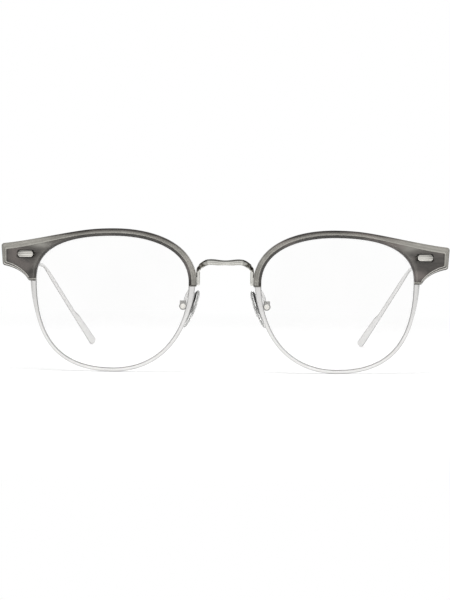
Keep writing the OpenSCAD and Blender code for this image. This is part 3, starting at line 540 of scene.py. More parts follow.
def brow_ring(t, out, ridge, end, line):
    """One cross-section of the brow: points in the glasses' frame and its marks: painted light, painted shade
    and a paler streak.

    end is 0 over the lens and 1 on the end piece, line is 1 along the end piece's lower edge."""
    inner, inner_ridge, wall = opening(t), beside(t, FACET), beside(t, groove_width(opening(t)))

    def at(p, y):
        return V(p[0], y, p[1])

    def front(p, drop=0.0):
        return at(p, sag(*p) - BROW_FRONT + drop)

    # along the end piece's lower edge a fine groove, with painted shade, divides the bevel into two painted
    # light lines
    step, cut_line = ridge.lerp(out, 0.62 - 0.04 * line), ridge.lerp(out, 0.33 - 0.03 * line)
    inner_line = ridge + (inner_ridge - ridge).normalized() * min(0.85, (inner_ridge - ridge).length * 0.4)
    mid = ridge.lerp(inner_line, 0.5)
    out_y = lerp(sag(*out) - BROW_FRONT + BEVEL_DROP, back_y(out), 0.5)
    nose = ease((BROW_T0 + 0.8 - t) / 0.6)
    painted_light = max(end, nose)
    # each row is a point, the radius of the ring's corner there, and its mark: above 0 paler, with painted
    # light on bevels and ridges, below 0 painted shade
    rows = [
        (at(inner, sag(*inner) - RABBET), 0.05, -0.2),
        (front(inner, FACET_DROP), 0.14, -0.36),
        (front(inner_ridge), 0.1, lerp(-0.3, 0.18, end)),
    ]
    for i in range(1, FACE_STEPS + 1):
        p = inner_ridge.lerp(inner_line, i / FACE_STEPS)
        mark = 0.45 * nose * i / FACE_STEPS + streak(p) * (1 - line)
        rows.append((front(p), 0.08 if i == FACE_STEPS else 0, mark))
    rows += [
        (front(mid, 0.02), 0.05, lerp(lerp(0.05, 0.6, nose), -0.4, end)),
        (front(ridge), 0.06, lerp(0.85, 0.95, end) + 0.7 * line),
        (front(cut_line, BEVEL_DROP * 0.2 + 0.05 * line), 0, lerp(lerp(0.4, 0.6, painted_light), -1.2, line)),
        (front(step, BEVEL_DROP * 0.5), 0, lerp(lerp(0.0, 0.8, painted_light), 2.6, line)),
        (front(out, BEVEL_DROP + 0.02), 0.3, lerp(lerp(-0.8, 0.5, painted_light), -0.8, line)),
        (at(out, out_y), 0, -0.3 - 0.5 * line),
        (at(out, back_y(out)), 0.45, -0.15),
        (at(wall, back_y(wall)), 0.1, -0.15),
        (at(wall, sag(*wall) - RABBET), 0, -0.15),
    ]
    points = [row[0] for row in rows]
    ring, marks = [], []
    for i, (p, r, mark) in enumerate(rows):
        curve = corner(points, i, r, CORNER_STEPS) if r > 0 else [p]
        ring += curve
        marks += [mark] * len(curve)
    return ring, marks


def brow_stations():
    """The brow's cross-sections: place, outer edge, ridge, and how much each is end piece and lower edge."""
    ts = [lerp(BROW_T0, ARCH_END, i / ARCH_STEPS) for i in range(ARCH_STEPS + 1)]
    rows = [(t, beside(t, BAND), beside(t, BAND - BEVEL), 0.0, 0.0) for t in ts]
    for u in (k + i / n for k, n in enumerate(END_STEPS) for i in range(1, n + 1)):
        rows.append((end_t(u), *end_piece(u), ease(u / 0.7), ease((u - 3.1) / 0.5)))
    return rows


def brow_mesh():
    rings, marks = [], []
    for row in brow_stations():
        ring, ring_marks = brow_ring(*row)
        rings.append([LENS_TO_GLASSES @ p for p in ring])
        marks.append(ring_marks)
    # each end is rounded, and has a painted light line round it with painted dark lines before and behind
    steps, n = 3, len(marks[0])
    rings = round_ends(rings, BROW_ROUND, steps)
    for i, v in ((0, 0.9), (1, -0.45), (-1, -0.4), (-2, 0.5), (-3, 0.9), (-4, -0.5)):
        marks[i] = [v] * n
    marks = [[0.4] * n] * steps + marks + [[-0.7] * n] * steps
    return loft(rings) + ([v for ring in marks for v in ring],)


def pill_outline(length, height, n=14):
    r, c = height / 2, (length - height) / 2
    right = [V(c + r * math.sin(math.pi * i / n), r * math.cos(math.pi * i / n)) for i in range(n + 1)]
    return right + [-p for p in right]


def frame_at(x, z, drop):
    """A place on the front's curve with its own directions, in the glasses' frame."""
    turn = Matrix.Rotation(math.asin(x / FRONT_R), 4, "Z") @ Matrix.Rotation(-math.asin(z / FRONT_R), 4, "X")
    return LENS_TO_GLASSES @ Matrix.Translation((x, sag(x, z) + drop, z)) @ turn


PLAQUE_AT = frame_at(HALF_W + PLAQUE_X, PLAQUE_Z, -BROW_FRONT)
PLAQUE_MID = PLAQUE_AT @ V(0, 0, 0)
LOCK_T = t_at(LOCK_Z, 2, 1.4)
LOCK_SLOPE = bezier_slope(*QUARTERS[1], LOCK_T - 1)


def cut(target, *shapes):
    """Takes closed shapes out of a piece and applies that to its mesh."""
    for verts, faces in shapes:
        flip = target.name.startswith("right")
        tool = piece("cutter", verts, faces, target.data.materials[0], body_of(target)[0], mirror=flip)
        mod = target.modifiers.new("cut", "BOOLEAN")
        mod.object, mod.operation, mod.solver = tool, "DIFFERENCE", "EXACT"
        depsgraph = bpy.context.evaluated_depsgraph_get()
        new = bpy.data.meshes.new_from_object(target.evaluated_get(depsgraph))
        target.modifiers.remove(mod)
        old = target.data
        target.data, name = new, old.name
        bpy.data.meshes.remove(old)
        new.name = name
        bpy.data.objects.remove(tool)


def prism(place, outline, y0, y1):
    """A closed prism along y in a place's own frame."""
    return loft([[place @ V(p[0], y, p[1]) for p in outline] for y in (y0, y1)])


def lock_box():
    """The room for the eyewire's lock, open to the back."""
    place = beside(LOCK_T, RIM_HIDDEN + LOCK_WEB + LOCK_R)
    turn = Matrix.Rotation(math.atan2(-LOCK_SLOPE[0], -LOCK_SLOPE[1]), 4, "Y")
    at = LENS_TO_GLASSES @ Matrix.Translation((place[0], sag(*place), place[1])) @ turn
    play, behind = 0.1, 18
    x0, x1, z = -LOCK_R - LOCK_WEB - play, LOCK_R + play, LOCK_L / 2 + 2 * play
    return prism(at, [V(x0, -z), V(x1, -z), V(x1, z), V(x0, z)], -RABBET - play / 2, behind)


# how far beyond the plaque and over what depth the recess gets painted shade, and how dark
RECESS_RIM, RECESS_REACH, RECESS_MARK = 0.24, (-0.4, 1), -0.8
# the recess is cut from this far in front of the face
AHEAD = 2
recess = prism(PLAQUE_AT, pill_outline(PLAQUE_L + 2 * RECESS_GAP, PLAQUE_H + 2 * RECESS_GAP), -AHEAD, RECESS)
to_plaque = PLAQUE_AT.inverted()
for b in both("brow", brow_mesh(), ACETATE, ("front", "front"), "brow", "brow_acetate", sharp=26):
    cut(b, recess, lock_box())
    side = -1 if b.name.startswith("right") else 1
    marks = b.data.attributes["mark"].data
    # painted shade in the recess round the plaque
    for i, v in enumerate(b.data.vertices):
        x, y, z = to_plaque @ V(side * v.co[0] / MM, v.co[1] / MM - SHIFT, v.co[2] / MM)
        inside = abs(x) < PLAQUE_L / 2 + RECESS_RIM and abs(z) < PLAQUE_H / 2 + RECESS_RIM
        if inside and RECESS_REACH[0] < y < RECESS_REACH[1]:
            marks[i].value = RECESS_MARK


# Plaque
LINE_PITCH, LINE_HALF, LINE_DEPTH = 0.29 * PLAQUE_H, 0.2, 0.04


def plaque_mesh():
    """A pill with three fine lines along its face, as slices from its lower edge to its upper one."""
    rings, marks = [], []
    r, c, top, soft = PLAQUE_H / 2, (PLAQUE_L - PLAQUE_H) / 2, RECESS - PLAQUE_T, 0.16
    # painted shade on the upper and the lower edge, over this width
    dark, dark_from, dark_blend = 0.7, 0.22, 0.15
    steps = 96
    for i in range(steps + 1):
        z = -r * math.cos(math.pi * i / steps)
        half = c + math.sqrt(max(0, r * r - z * z))
        edge = 1 if abs(z) < r * 0.5 else clamp((r - abs(z)) / soft)
        drop = soft * (1 - math.sqrt(max(0, 1 - (1 - edge) ** 2)))
        line = max(0, 1 - min(abs(z - k * LINE_PITCH) for k in (-1, 0, 1)) / LINE_HALF)
        y = top + drop + LINE_DEPTH * line
        inset = min(soft, half * 0.4)
        side = [V(half - inset, y, z), V(half - inset * 0.3, y + soft * 0.3, z), V(half, y + soft * 0.9, z),
                V(half, RECESS - 0.02, z)]
        rings.append([PLAQUE_AT @ p for p in [V(-p[0], p[1], p[2]) for p in reversed(side)] + side])
        # painted shade in the three fine lines, on the edges and on the side walls
        tone = max(dark * ease((abs(z) - r + dark_from) / dark_blend), 0.95 * line)
        marks += [0.9, 0.7, 0.4, tone, tone, 0.4, 0.7, 0.9]
    return loft(rings) + (marks,)


both("plaque", plaque_mesh(), PLAQUE_METAL, ("front", "front"), "plaque", "plaque_metal", sharp=45)


# Eyewire
# painted shade round the wire's cross-section: most in the groove and on its inner lip, a little on the outer
# edge
WIRE_MARKS = [1, 0.6, 0.4, 0.4, 0.4, 0.4, 0.3, 0.2, 0.3, 0.35, 0.12, 0, 0, 0, 0, 0.45]
WIRE_STEPS = 360


def wire_points(w):
    """The wire's cross-section, w wide: its groove, its back and its slightly crowned face."""
    d, g, lip, crown = RIM_DEPTH / 2, TONGUE_T / 2 + LENS_GAP, 0.12, 0.06
    chamfer, front_chamfer = 0.2, 0.25
    face = [V(lerp(lip, w - chamfer, i / 5), d - crown * (2 * i / 5 - 1) ** 2) for i in range(6)]
    groove = [V(0, d - lip), V(0, g + lip), V(GROOVE, g), V(GROOVE, -g), V(0, -g - lip), V(0, lip - d)]
    outside = [V(lip, -d), V(w - chamfer, -d), V(w, chamfer - d), V(w, d - front_chamfer)]
    return groove + outside + face[::-1]


def eyewire_mesh():
    split = SPLIT_GAP / 2 / LOCK_SLOPE.length
    rings = []
    for i in range(WIRE_STEPS + 1):
        t = LOCK_T + split + i * (4 - 2 * split) / WIRE_STEPS
        ring = []
        for p in wire_points(rim_width(opening(t))):
            q = beside(t, p[0])
            ring.append(from_lens(q[0], sag(*q) - p[1], q[1]))
        rings.append(ring)
    return loft(rings) + (WIRE_MARKS * len(rings),)


both("eyewire", eyewire_mesh(), FRAME_METAL, ("front", "front"), "eyewire", "frame_metal", sharp=50)


# Lens
def lens_mesh():
    """The lens: its front and back follow the front's curve, and its tongue reaches into the groove."""
    around, inward = 176, 14
    rim = GROOVE - LENS_GAP

    def ring(r, share, y):
        out = []
        for i in range(around):
            p = beside(4 * i / around, r) * share
            out.append(from_lens(p[0], sag(*p) + y, p[1]))
        return out

    shares = [math.sin(math.pi / 2 * i / inward) for i in range(1, inward + 1)]
    rings = [ring(-LENS_GAP, share, -LENS_T / 2) for share in shares]
    tongue = ((-LENS_GAP, -1), (rim, -1), (rim, 1), (-LENS_GAP, 1))
    rings += [ring(r, 1, side * TONGUE_T / 2) for r, side in tongue]
    return loft(rings + [ring(-LENS_GAP, share, LENS_T / 2) for share in reversed(shares)])


for o in both("lens", lens_mesh(), LENS_GLASS, ("front", "front"), "lens", "lens", sharp=40):
    o.visible_shadow = False


# Temple
HINGE_X = LENS_PITCH / 2 + HALF_W + HINGE_OUT
HINGE_Y, HINGE_Z = SEAT_Y + PLATE_T + BARREL_R + 0.1, PLAQUE_MID[2]
TEMPLE_IN = BARREL_R + 0.15 + PLATE_T * 0.8
# the straight stretch behind the hinge, its share of the way to the bend, and the bend's reach each way
STRAIGHT, STRAIGHT_S, BEND_REACH = 8, 0.1, 7
TEMPLE_GAP = 0.45
T_START = V(HINGE_X + TEMPLE_IN + TEMPLE_T / 2, SEAT_Y + TEMPLE_GAP, HINGE_Z)
T_BEND = V(HINGE_X - BEND_IN, HINGE_Y + TEMPLE_RUN, BEND_Z)
T_STRAIGHT = T_START + STRAIGHT * V(0, 1, -(T_START[2] - BEND_Z) / (T_BEND[1] - T_START[1]))
RUN_WAY = (T_BEND - T_STRAIGHT).normalized()
T_FROM = T_BEND - BEND_REACH * RUN_WAY
# the direction of the paddle's width, before it is squared to the temple
PADDLE_LEAN = V(-0.68, 0.31, 0.67)
# where the paddle's upper edge steps out, and how far the edges lie from the line before and after that
PADDLE_STEP, PADDLE_LOW = (0.5, 0.6), 0.65
EAR_LOW, NECK_HIGH = TEMPLE_H_BEND / 2 + 0.3, TEMPLE_H_BEND / 2 + 0.23
SHOULDER_HIGH, TIP_HIGH = 0.65 * (PADDLE_W - PADDLE_LOW), PADDLE_W - PADDLE_LOW
# the length over which the tip is rounded, and the share of its width that is left at the end
TIP_CORNER, TIP_ROUND = 1.3, 0.55


def square_to(v, way):
    return (v - v.dot(way) * way).normalized()


def temple_frame(s, tip):
    """The temple's line: s runs 0 to 1 to the bend, 1 to 2 round it and 2 to 3 down to the tip."""
    ear = (tip - T_BEND).normalized()
    to = T_BEND + BEND_REACH * ear
    if s < STRAIGHT_S:
        return lerp(T_START, T_STRAIGHT, s / STRAIGHT_S), (T_STRAIGHT - T_START).normalized(), to
    if s < 1:
        return lerp(T_STRAIGHT, T_FROM, (s - STRAIGHT_S) / (1 - STRAIGHT_S)), RUN_WAY, to
    if s < 2:
        return quad(T_FROM, T_BEND, to, s - 1), RUN_WAY.lerp(ear, s - 1).normalized(), to
    return lerp(to, tip, s - 2), ear, to


def temple_edges(s):
    """How far the lower and the upper edge lie from the temple's line."""
    bend = TEMPLE_H_BEND / 2
    if s < 1:
        return (lerp(TEMPLE_H / 2, bend, ease(s * 1.1)),) * 2
    if s < 2:
        return lerp(bend, EAR_LOW, s - 1), bend
    f, (step_from, step_to) = s - 2, PADDLE_STEP
    before = lerp(bend, NECK_HIGH, f / step_from)
    after = lerp(SHOULDER_HIGH, TIP_HIGH, (f - step_to) / (1 - step_to))
    return lerp(EAR_LOW, PADDLE_LOW, f), lerp(before, after, ease((f - step_from) / (step_to - step_from)))


def temple_ring(s, tip, fine=True):
    """One cross-section of the temple. Fine ones have round edges, and painted shade marks with them."""
    c, way, to = temple_frame(s, tip)
    wide = square_to(V(0, 0, 1).lerp(PADDLE_LEAN, ease((s - 1) / 1.3)), way)
    thick = wide.cross(way)
    low, high = temple_edges(s)
    w = low + high
    c = c + wide * (high - low) / 2
    left = (3 - s) * (tip - to).length
    if s >= 2 and left <= TIP_CORNER:
        w *= lerp(TIP_ROUND, 1, math.sqrt(max(0, 1 - (1 - left / TIP_CORNER) ** 2)))
    t = lerp(TEMPLE_T, TEMPLE_T_EAR, s) if s < 1 else TEMPLE_T_EAR
    ch = 0.3 * min(w, t)
    hw, ht = w / 2, t / 2
    corners = [V(hw, ht - ch), V(hw - ch, ht), V(ch - hw, ht), V(-hw, ht - ch),
               V(-hw, ch - ht), V(ch - hw, -ht), V(hw - ch, -ht), V(hw, ch - ht)]
    ring = [c + wide * p[0] + thick * p[1] for p in corners]
    if not fine:
        return ring
    # painted shade on both edges, more than on the broad sides, most on the upper one
    ring = rounded(ring, ch * 0.4, 3)
    below = [w / 2 - (p - c).dot(wide) for p in ring]
    return ring, [0.95 if d < 0.5 * ch else 0.5 if d > w - 0.5 * ch else 0.08 for d in below]


def temple_mesh():
    """The temple, with its tip brought down to the table."""
    guess = V(T_BEND[0] - TIP_IN, T_BEND[1] + EAR_RUN, 0.5)
    ends = [2.92, 2.96, 2.975, 2.99, 3]
    tip = guess - V(0, 0, min(p[2] for s in ends for p in temple_ring(s, guess, False)))
    ss = [i / 60 for i in range(60)] + [1 + i / 24 for i in range(24)] + [2 + 0.02 * i for i in range(46)]
    ss += [2.92, 2.93, 2.94, 2.95, 2.96, 2.968, 2.976, 2.984, 2.99, 2.995, 3]
    made = [temple_ring(s, tip) for s in ss]
    steps = 3
    marks = [made[0][1]] * steps + [m for _, m in made]
    rings = round_ends([ring for ring, _ in made], 0.12, steps, (True, False))
    return loft(rings) + ([v for row in marks for v in row],)


both("temple", temple_mesh(), TEMPLE_METAL, ("left_temple", "right_temple"), "temple", "temple_metal",
     sharp=30)


# Bridge
LEG_EDGE = NASAL - V(BAND, 0)
LEG_AT = from_lens(LEG_EDGE[0], sag(*LEG_EDGE) + BROW_BACK, 0)
LEG_X, LEG_Y = LEG_AT[0] + LEG_LAP - LEG_W / 2, LEG_AT[1] + LEG_D / 2 + LEG_FREE
BAR_Z = RIM_Z + BRIDGE_TOP - BRIDGE_H / 2
BAR_END = V(LEG_X - CORNER_IN, -BRIDGE_FORWARD * 0.4, BAR_Z - 0.08)
LEG_TOP = V(LEG_X, LEG_Y, BAR_END[2] - CORNER_R)
LEG_END = V(LEG_X, LEG_Y, RIM_Z + NASAL_END + 0.25)


def half_bridge(s):
    """The bridge's line from its middle, s from 0 to 1 along the bar, to 2 round the corner, to 3 down."""
    f = BRIDGE_FORWARD
    if s < 1:
        middle = V(0, -f, BAR_Z - 0.35)
        return bezier(middle, middle + V(2, 0, 0), BAR_END + V(-1.8, -f * 0.45, 0.3), BAR_END, s)
    if s < 2:
        return bezier(BAR_END, BAR_END + V(1.3, f * 0.33, -0.22), LEG_TOP + V(0, -0.2, 1.3), LEG_TOP, s - 1)
    return lerp(LEG_TOP, LEG_END, s - 2)


def bridge_ring(s):
    """One cross-section of the bridge and its painted shade marks."""
    a, b = half_bridge(max(s - 0.01, 0)), half_bridge(min(s + 0.01, 3))
    way = V(1, 0, 0) if s == 0 else (b - a).normalized()
    wide = way.cross(V(0, 1, 0)).normalized()
    thick = wide.cross(way)
    f, pinch = ease(s - 1), 1 - ease(s / 0.5)
    # a collar marks where the bar turns into the leg
    collar = 1 + 0.08 * math.exp(-((s - 1.47) / 0.05) ** 2) - 0.12 * math.exp(-((s - 1.64) / 0.08) ** 2)
    hw = lerp(BRIDGE_H, LEG_W, f) / 2 * collar * (1 - 0.17 * pinch)
    hd = lerp(BRIDGE_D, LEG_D, f) / 2 * collar
    c = half_bridge(s) + V(0, 0, 0.15 * pinch)
    # on its face the bar has lengthwise flutes, with painted shade in them, and painted shade at its corner
    # and at the collar
    flute = 1 - ease((s - 0.8) / 0.25)
    corner_shade = ease((s - 0.92) / 0.12) * (1 - ease((s - 1.36) / 0.08))
    collar_shade = ease((s - 1.56) / 0.06) * (1 - ease((s - 1.66) / 0.1))
    steps = 32
    ring, marks = [], []
    for i in range(steps + 1):
        x = lerp(-1, 1, i / steps)
        valley = (0.5 - 0.5 * math.cos(math.pi * 3 * (x + 1))) * (1 - x ** 8) * flute
        y = hd - 0.4 * hd * abs(x) ** 3.4 - 0.05 * valley
        ring.append(c - wide * hw * x - thick * y)
        edge = 0.9 * abs(x) ** 4 if x < 0 else 0.5 * x ** 8
        edge *= 1 - ease((s - 1.5) / 0.3)
        marks.append(clamp(edge + 0.5 * valley * (0.5 + 0.5 * ease(s / 0.4)) + 0.6 * corner_shade + 0.8 * collar_shade))
    # the back gets a little painted shade
    for x in (1.0, 0.85, 0.5, 0.0, -0.5, -0.85, -1.0):
        ring.append(c - wide * hw * x + thick * hd * (1 - 0.35 * abs(x) ** 3))
        marks.append(0.3)
    return ring, marks


def bevelled_box(place, size, r):
    """A box with rounded edges from the origin of place to size."""
    bm = bmesh.new()
    bmesh.ops.create_cube(bm, size=1.0)
    for v in bm.verts:
        v.co = V(*((v.co[i] + 0.5) * size[i] for i in range(3)))
    bmesh.ops.bevel(bm, geom=list(bm.edges), offset=r, segments=3, affect="EDGES", profile=0.5)
    bm.verts.ensure_lookup_table()
    made = [place @ v.co for v in bm.verts], [tuple(v.index for v in f.verts) for f in bm.faces]
    bm.free()
    return made


def joined(*parts):
    verts, faces = [], []
    for v, f in parts:
        n = len(verts)
        verts += v
        faces += [tuple(i + n for i in face) for face in f]
    return verts, faces


def back_frame(t, r):
    """A place on the back of the brow over the lens, its Y pointing backwards."""
    p = beside(t, r)
    return frame_at(p[0], p[1], BROW_BACK)


def mirrored(made):
    verts, faces = made
    return [V(-v[0], v[1], v[2]) for v in verts], [tuple(reversed(f)) for f in faces]


def bridge_mesh():
    """The bar with both its legs, and a foot from each leg onto the eyewire's back."""
    ss = [k + i / n for k, n in enumerate((40, 48, 6)) for i in range(1, n + 1)]
    made = [bridge_ring(s) for s in ss]
    steps = 5
    half = round_ends([ring for ring, _ in made], 0.45, steps, (False, True))
    half_marks = [marks for _, marks in made] + [made[-1][1]] * steps
    other = [[V(-p[0], p[1], p[2]) for p in ring] for ring in reversed(half)]
    middle, middle_marks = bridge_ring(0)
    bar = loft(other + [middle] + half)
    marks = [v for row in half_marks[::-1] + [middle_marks] + half_marks for v in row]
    foot_out = BAND + 0.75
    foot_t = t_at(NASAL_END + 1.9, BROW_T0, 0.4)
    place = back_frame(foot_t, foot_out / 2) @ Matrix.Translation((-foot_out / 2, SEAT_PLAY, -FOOT_H / 2))
    foot = bevelled_box(place, (foot_out - 0.1, FOOT_D, FOOT_H), 0.18)
    verts, faces = joined(bar, foot, mirrored(foot))
    # the feet get a little painted shade
    return verts, faces, marks + [0.2] * (len(verts) - len(marks))


verts, faces, marks = bridge_mesh()
piece("bridge_bar", verts, faces, BRIDGE_METAL, "front", ("bridge",), "frame_metal", sharp=35, marks=marks)


# Nose pads
PAD_MID = V(NOSE_GAP / 2 - PAD_OUT, PAD_Y, RIM_Z - PAD_DROP)
PAD_AT = (Matrix.Translation(PAD_MID) @ Matrix.Rotation(math.radians(-PAD_LEAN), 4, "Y")
          @ Matrix.Rotation(math.radians(-PAD_SPLAY), 4, "Z"))
BOX_AT = PAD_MID + V(BOX_OUT, -BOX_AHEAD, BOX_UP)
# the pad from its skin side to its back: place in its thickness, and share of its outline
SHELLS = [(-0.5, 0.0), (-0.497, 0.25), (-0.49, 0.45), (-0.455, 0.72), (-0.32, 0.92), (-0.08, 1.0),
          (0.16, 0.97), (0.36, 0.82), (0.46, 0.6), (0.49, 0.35), (0.5, 0.0)]


def along(points, u):
    """A smooth curve through points, u from 0 to 1."""
    n = len(points) - 1
    i = min(int(u * n), n - 1)
    f = u * n - i
    near = [points[clamp(k, 0, n)] for k in (i - 1, i, i + 1, i + 2)]
    return tuple(0.5 * (2 * b + (c - a) * f + (2 * a - 5 * b + 4 * c - d) * f * f
                        + (3 * b - a - 3 * c + d) * f ** 3) for a, b, c, d in zip(*near))


def pad_mesh():
    """The pad, an oval cushion, with painted shade in a band round its outer edge and in a thin line inside
    it.
    """
    rings, marks = [], []
    layers, around = 48, 96
    for j in range(1, layers):
        x, share = along(SHELLS, j / layers)
        ring = []
        for i in range(around):
            a = 2 * math.pi * i / around
            wedge = 1 - 0.12 * math.sin(a)
            z = share * math.sin(a)
            ring.append(PAD_AT @ V(x * PAD_T, share * PAD_W / 2 * math.cos(a) * wedge, z * PAD_L / 2))
            rim = ease((-math.cos(a) - 0.25) / 0.4) if z < 0.6 else 1
            wide = 0.09 + 0.09 * ease((z + 0.4) / 0.9)
            band = ease((x - 0.16) / 0.06) * (1 - ease((x - 0.24 - wide) / 0.06)) * ease((z + 0.85) / 0.2)
            band *= lerp(0.85, 1, ease((z + 0.1) / 0.7))
            line = 0.45 * math.exp(-((x + 0.3) / 0.06) ** 2) * ease((z - 0.2) / 0.4)
            marks.append(min(1, max(band, line)) * rim * ease((share - 0.5) / 0.3))
        rings.append(ring)
    return loft(rings) + (marks,)


for o in both("pad", pad_mesh(), SILICONE, ("left_pad", "right_pad"), "pad", "pad_silicone", sharp=60):
    o.visible_shadow = False


# Pad arm
ARM_T = t_at(NASAL_END - 0.5, -0.5, 0)
ARM_P = beside(ARM_T, 0.55)
ARM_FOOT = from_lens(ARM_P[0], sag(*ARM_P) + RIM_DEPTH / 2 + 0.12, ARM_P[1])
ARM_END = BOX_AT + V(-0.7, 0, BOX_RISE + 0.02)
ARM_LINE = (ARM_FOOT, ARM_FOOT + V(-0.2, 4.2, 0.1), ARM_END + V(-0.4, 0, 2.5), ARM_END)


def arm_mesh():
    """A round wire from the eyewire's back to the top of the pad's box, thicker at its soldered foot."""
    rings, steps, around = [], 60, 20
    for i in range(steps + 1):
        s = i / steps
        way = V(0, 0, -1) if s == 1 else bezier_slope(*ARM_LINE, s).normalized()
        a = square_to(V(1, 0, 0), way)
        b = a.cross(way)
        r = ARM_R * (1 + 0.25 * math.exp(-(s / 0.03) ** 2))
        c = bezier(*ARM_LINE, s)
        turns = [2 * math.pi * j / around for j in range(around)]
        rings.append([c + r * (a * math.cos(turn) + b * math.sin(turn)) for turn in turns])
    return loft(rings)


both("pad_arm", arm_mesh(), FRAME_METAL, ("front", "front"), "pad_arm", "frame_metal", sharp=50)


# The CAD's own small parts keep their shape and get a finish
FINISHES = {
    "hinge_screw": SCREW_STEEL, "brow_screws": SCREW_STEEL, "rim_lock_screw": SCREW_STEEL,
    "hinge_front": HINGE_METAL, "hinge_rear": HINGE_METAL, "brow_lugs": FRAME_METAL, "rim_lock": FRAME_METAL,
    "pad_box": BOX_METAL, "pad_core": PAD_METAL, "pad_screw": PLAQUE_METAL,
}
for name, node in frame["nodes"].items():
    finish = FINISHES.get(name.partition("_")[2])
    if finish:
        for s in node.material_slots:
            s.material = finish


# Floor, light and camera, with lengths in metres
# the floor lies just under the glasses, and fades into the background between two distances
FLOOR_HALF, FLOOR_DROP, FLOOR_FADE = 6.0, 0.0001, (0.1, 0.32)
FLOOR_COLOUR, FLOOR_GLOW, FLOOR_FAR, AMBIENT = 0.8, 0.28, 0.5, 0.35
# how the room gets greyer to the sides and upwards: over which span, and from and to what brightness
SIDE_GREY, CEILING_GREY = (0.55, 0.95, 1.0, 0.1), (0.25, 0.7, 1.0, 0.4)
CAMERA_AWAY, CAMERA_UP, CAMERA_SIDE, FRONT_PLACE = 0.628, 0.054, 0.00006, -0.062
YAW, PITCH, ROLL = math.radians(0.36), math.radians(2.77), math.radians(0.6)
SENSOR, FOCAL_PIXELS, PHOTO_HEIGHT = 36.0, 1946, 600
# name, place, what it points at, size and power of each lamp
LAMPS = [
    ("top", (0, -0.25, 0.75), (0, 0, 0.02), (0.7, 0.45), 4.2),
    ("left", (-0.7, -0.35, 0.35), (0, -0.03, 0.03), (0.4, 0.5), 1.5),
    ("right", (0.7, -0.35, 0.35), (0, -0.03, 0.03), (0.4, 0.5), 1.5),
]


def ray_kinds(tree, *kinds):
    """1 for these kinds of ray, else 0."""
    path = tree.nodes.new("ShaderNodeLightPath")
    total = path.outputs[kinds[0]]
    for kind in kinds[1:]:
        n = tree.nodes.new("ShaderNodeMath")
        n.operation = "MAXIMUM"
        tree.links.new(total, n.inputs[0])
        tree.links.new(path.outputs[kind], n.inputs[1])
        total = n.outputs[0]
    return total


def ranged(tree, value, a, b, c, d, smooth=False):
    """value, moved from the span a to b to the span c to d."""
    n = tree.nodes.new("ShaderNodeMapRange")
    if smooth:
        n.interpolation_type = "SMOOTHSTEP"
    tree.links.new(value, n.inputs["Value"])
    for k, v in (("From Min", a), ("From Max", b), ("To Min", c), ("To Max", d)):
        n.inputs[k].default_value = v
    return n.outputs["Result"]


def floor():
    """A white table that takes the glasses' shadow, and further out melts into the white background."""
    bm = bmesh.new()
    bmesh.ops.create_grid(bm, x_segments=8, y_segments=8, size=FLOOR_HALF)
    me = bpy.data.meshes.new("floor")
    bm.to_mesh(me)
    bm.free()
    o = bpy.data.objects.new("floor", me)
    o.location = (0, 0, -FLOOR_DROP)
    bpy.context.scene.collection.objects.link(o)
    m = bpy.data.materials.new("floor_white")
    m.use_nodes = True
    tree = m.node_tree
    tree.nodes.clear()
    new, link = tree.nodes.new, tree.links.new
    out, add, mix = (new("ShaderNode" + k) for k in ("OutputMaterial", "AddShader", "MixShader"))
    matt, glow, far = new("ShaderNodeBsdfDiffuse"), new("ShaderNodeEmission"), new("ShaderNodeEmission")
    matt.inputs["Color"].default_value = (FLOOR_COLOUR,) * 3 + (1,)
    seen = ray_kinds(tree, "Is Camera Ray", "Is Glossy Ray", "Is Transmission Ray")
    link(ranged(tree, seen, 0, 1, 0, FLOOR_GLOW), glow.inputs["Strength"])
    link(ranged(tree, seen, 0, 1, FLOOR_FAR, 1.0), far.inputs["Strength"])
    length = new("ShaderNodeVectorMath")
    length.operation = "LENGTH"
    link(new("ShaderNodeTexCoord").outputs["Object"], length.inputs[0])
    link(ranged(tree, length.outputs["Value"], *FLOOR_FADE, 0, 1, True), mix.inputs["Fac"])
    link(matt.outputs[0], add.inputs[0])
    link(glow.outputs[0], add.inputs[1])
    link(add.outputs[0], mix.inputs[1])
    link(far.outputs[0], mix.inputs[2])
    link(mix.outputs[0], out.inputs["Surface"])
    me.materials.append(m)


def lamp(name, place, target, size, power):
    data = bpy.data.lights.new(name, "AREA")
    data.shape, data.size, data.size_y, data.energy = "RECTANGLE", size[0], size[1], power
    o = bpy.data.objects.new(name, data)
    o.location = place
    o.rotation_euler = (Vector(target) - Vector(place)).to_track_quat("-Z", "Y").to_euler()
    bpy.context.scene.collection.objects.link(o)
    # metal mirrors the white room, not the lamps
    o.visible_glossy = False


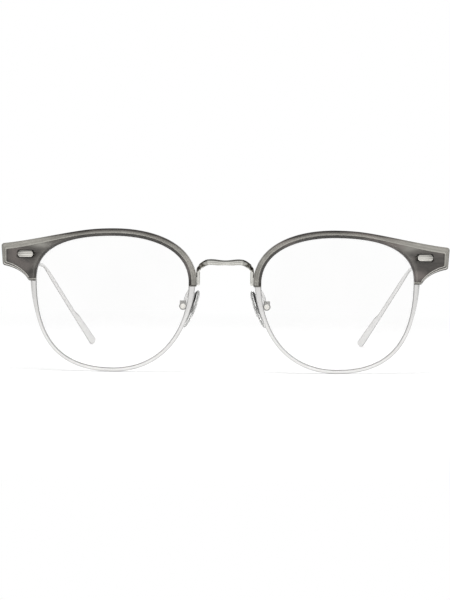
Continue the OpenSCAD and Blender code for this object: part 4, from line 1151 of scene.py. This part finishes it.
def world():
    """White to the camera and through clear pieces; metal sees a white room with greyer sides and ceiling."""
    w = bpy.data.worlds.new("studio")
    bpy.context.scene.world = w
    w.use_nodes = True
    tree = w.node_tree
    new, link = tree.nodes.new, tree.links.new
    back = tree.nodes["Background"]
    back.inputs["Color"].default_value = (1, 1, 1, 1)
    place = new("ShaderNodeSeparateXYZ")
    link(new("ShaderNodeTexCoord").outputs["Generated"], place.inputs[0])
    side = new("ShaderNodeMath")
    side.operation = "ABSOLUTE"
    link(place.outputs["X"], side.inputs[0])
    gloss = new("ShaderNodeMath")
    gloss.operation = "MULTIPLY"
    link(ranged(tree, side.outputs[0], *SIDE_GREY, True), gloss.inputs[0])
    link(ranged(tree, place.outputs["Z"], *CEILING_GREY, True), gloss.inputs[1])
    level = new("ShaderNodeMix")
    link(ray_kinds(tree, "Is Glossy Ray"), level.inputs[0])
    level.inputs[2].default_value = AMBIENT
    link(gloss.outputs[0], level.inputs[3])
    show = new("ShaderNodeMix")
    link(ray_kinds(tree, "Is Camera Ray", "Is Transmission Ray"), show.inputs[0])
    link(level.outputs[0], show.inputs[2])
    show.inputs[3].default_value = 1.0
    link(show.outputs[0], back.inputs["Strength"])


def camera():
    """Stands where the photograph was taken from, a little to the right and above the lenses' middle."""
    data = bpy.data.cameras.new("camera")
    o = bpy.data.objects.new("camera", data)
    bpy.context.scene.collection.objects.link(o)
    data.sensor_width, data.lens = SENSOR, FOCAL_PIXELS * SENSOR / PHOTO_HEIGHT
    data.clip_start, data.clip_end = 0.01, 50
    away = CAMERA_AWAY * V(math.sin(YAW), -math.cos(YAW), 0)
    o.location = V(CAMERA_SIDE, FRONT_PLACE, CAMERA_UP) + away
    turn = Matrix.Rotation(YAW, 3, "Z") @ Matrix.Rotation(math.radians(90) - PITCH, 3, "X")
    o.rotation_euler = (turn @ Matrix.Rotation(ROLL, 3, "Z")).to_euler()
    bpy.context.scene.camera = o


floor()
world()
camera()
for row in LAMPS:
    lamp(*row)
bpy.context.scene.view_settings.view_transform = "Standard"
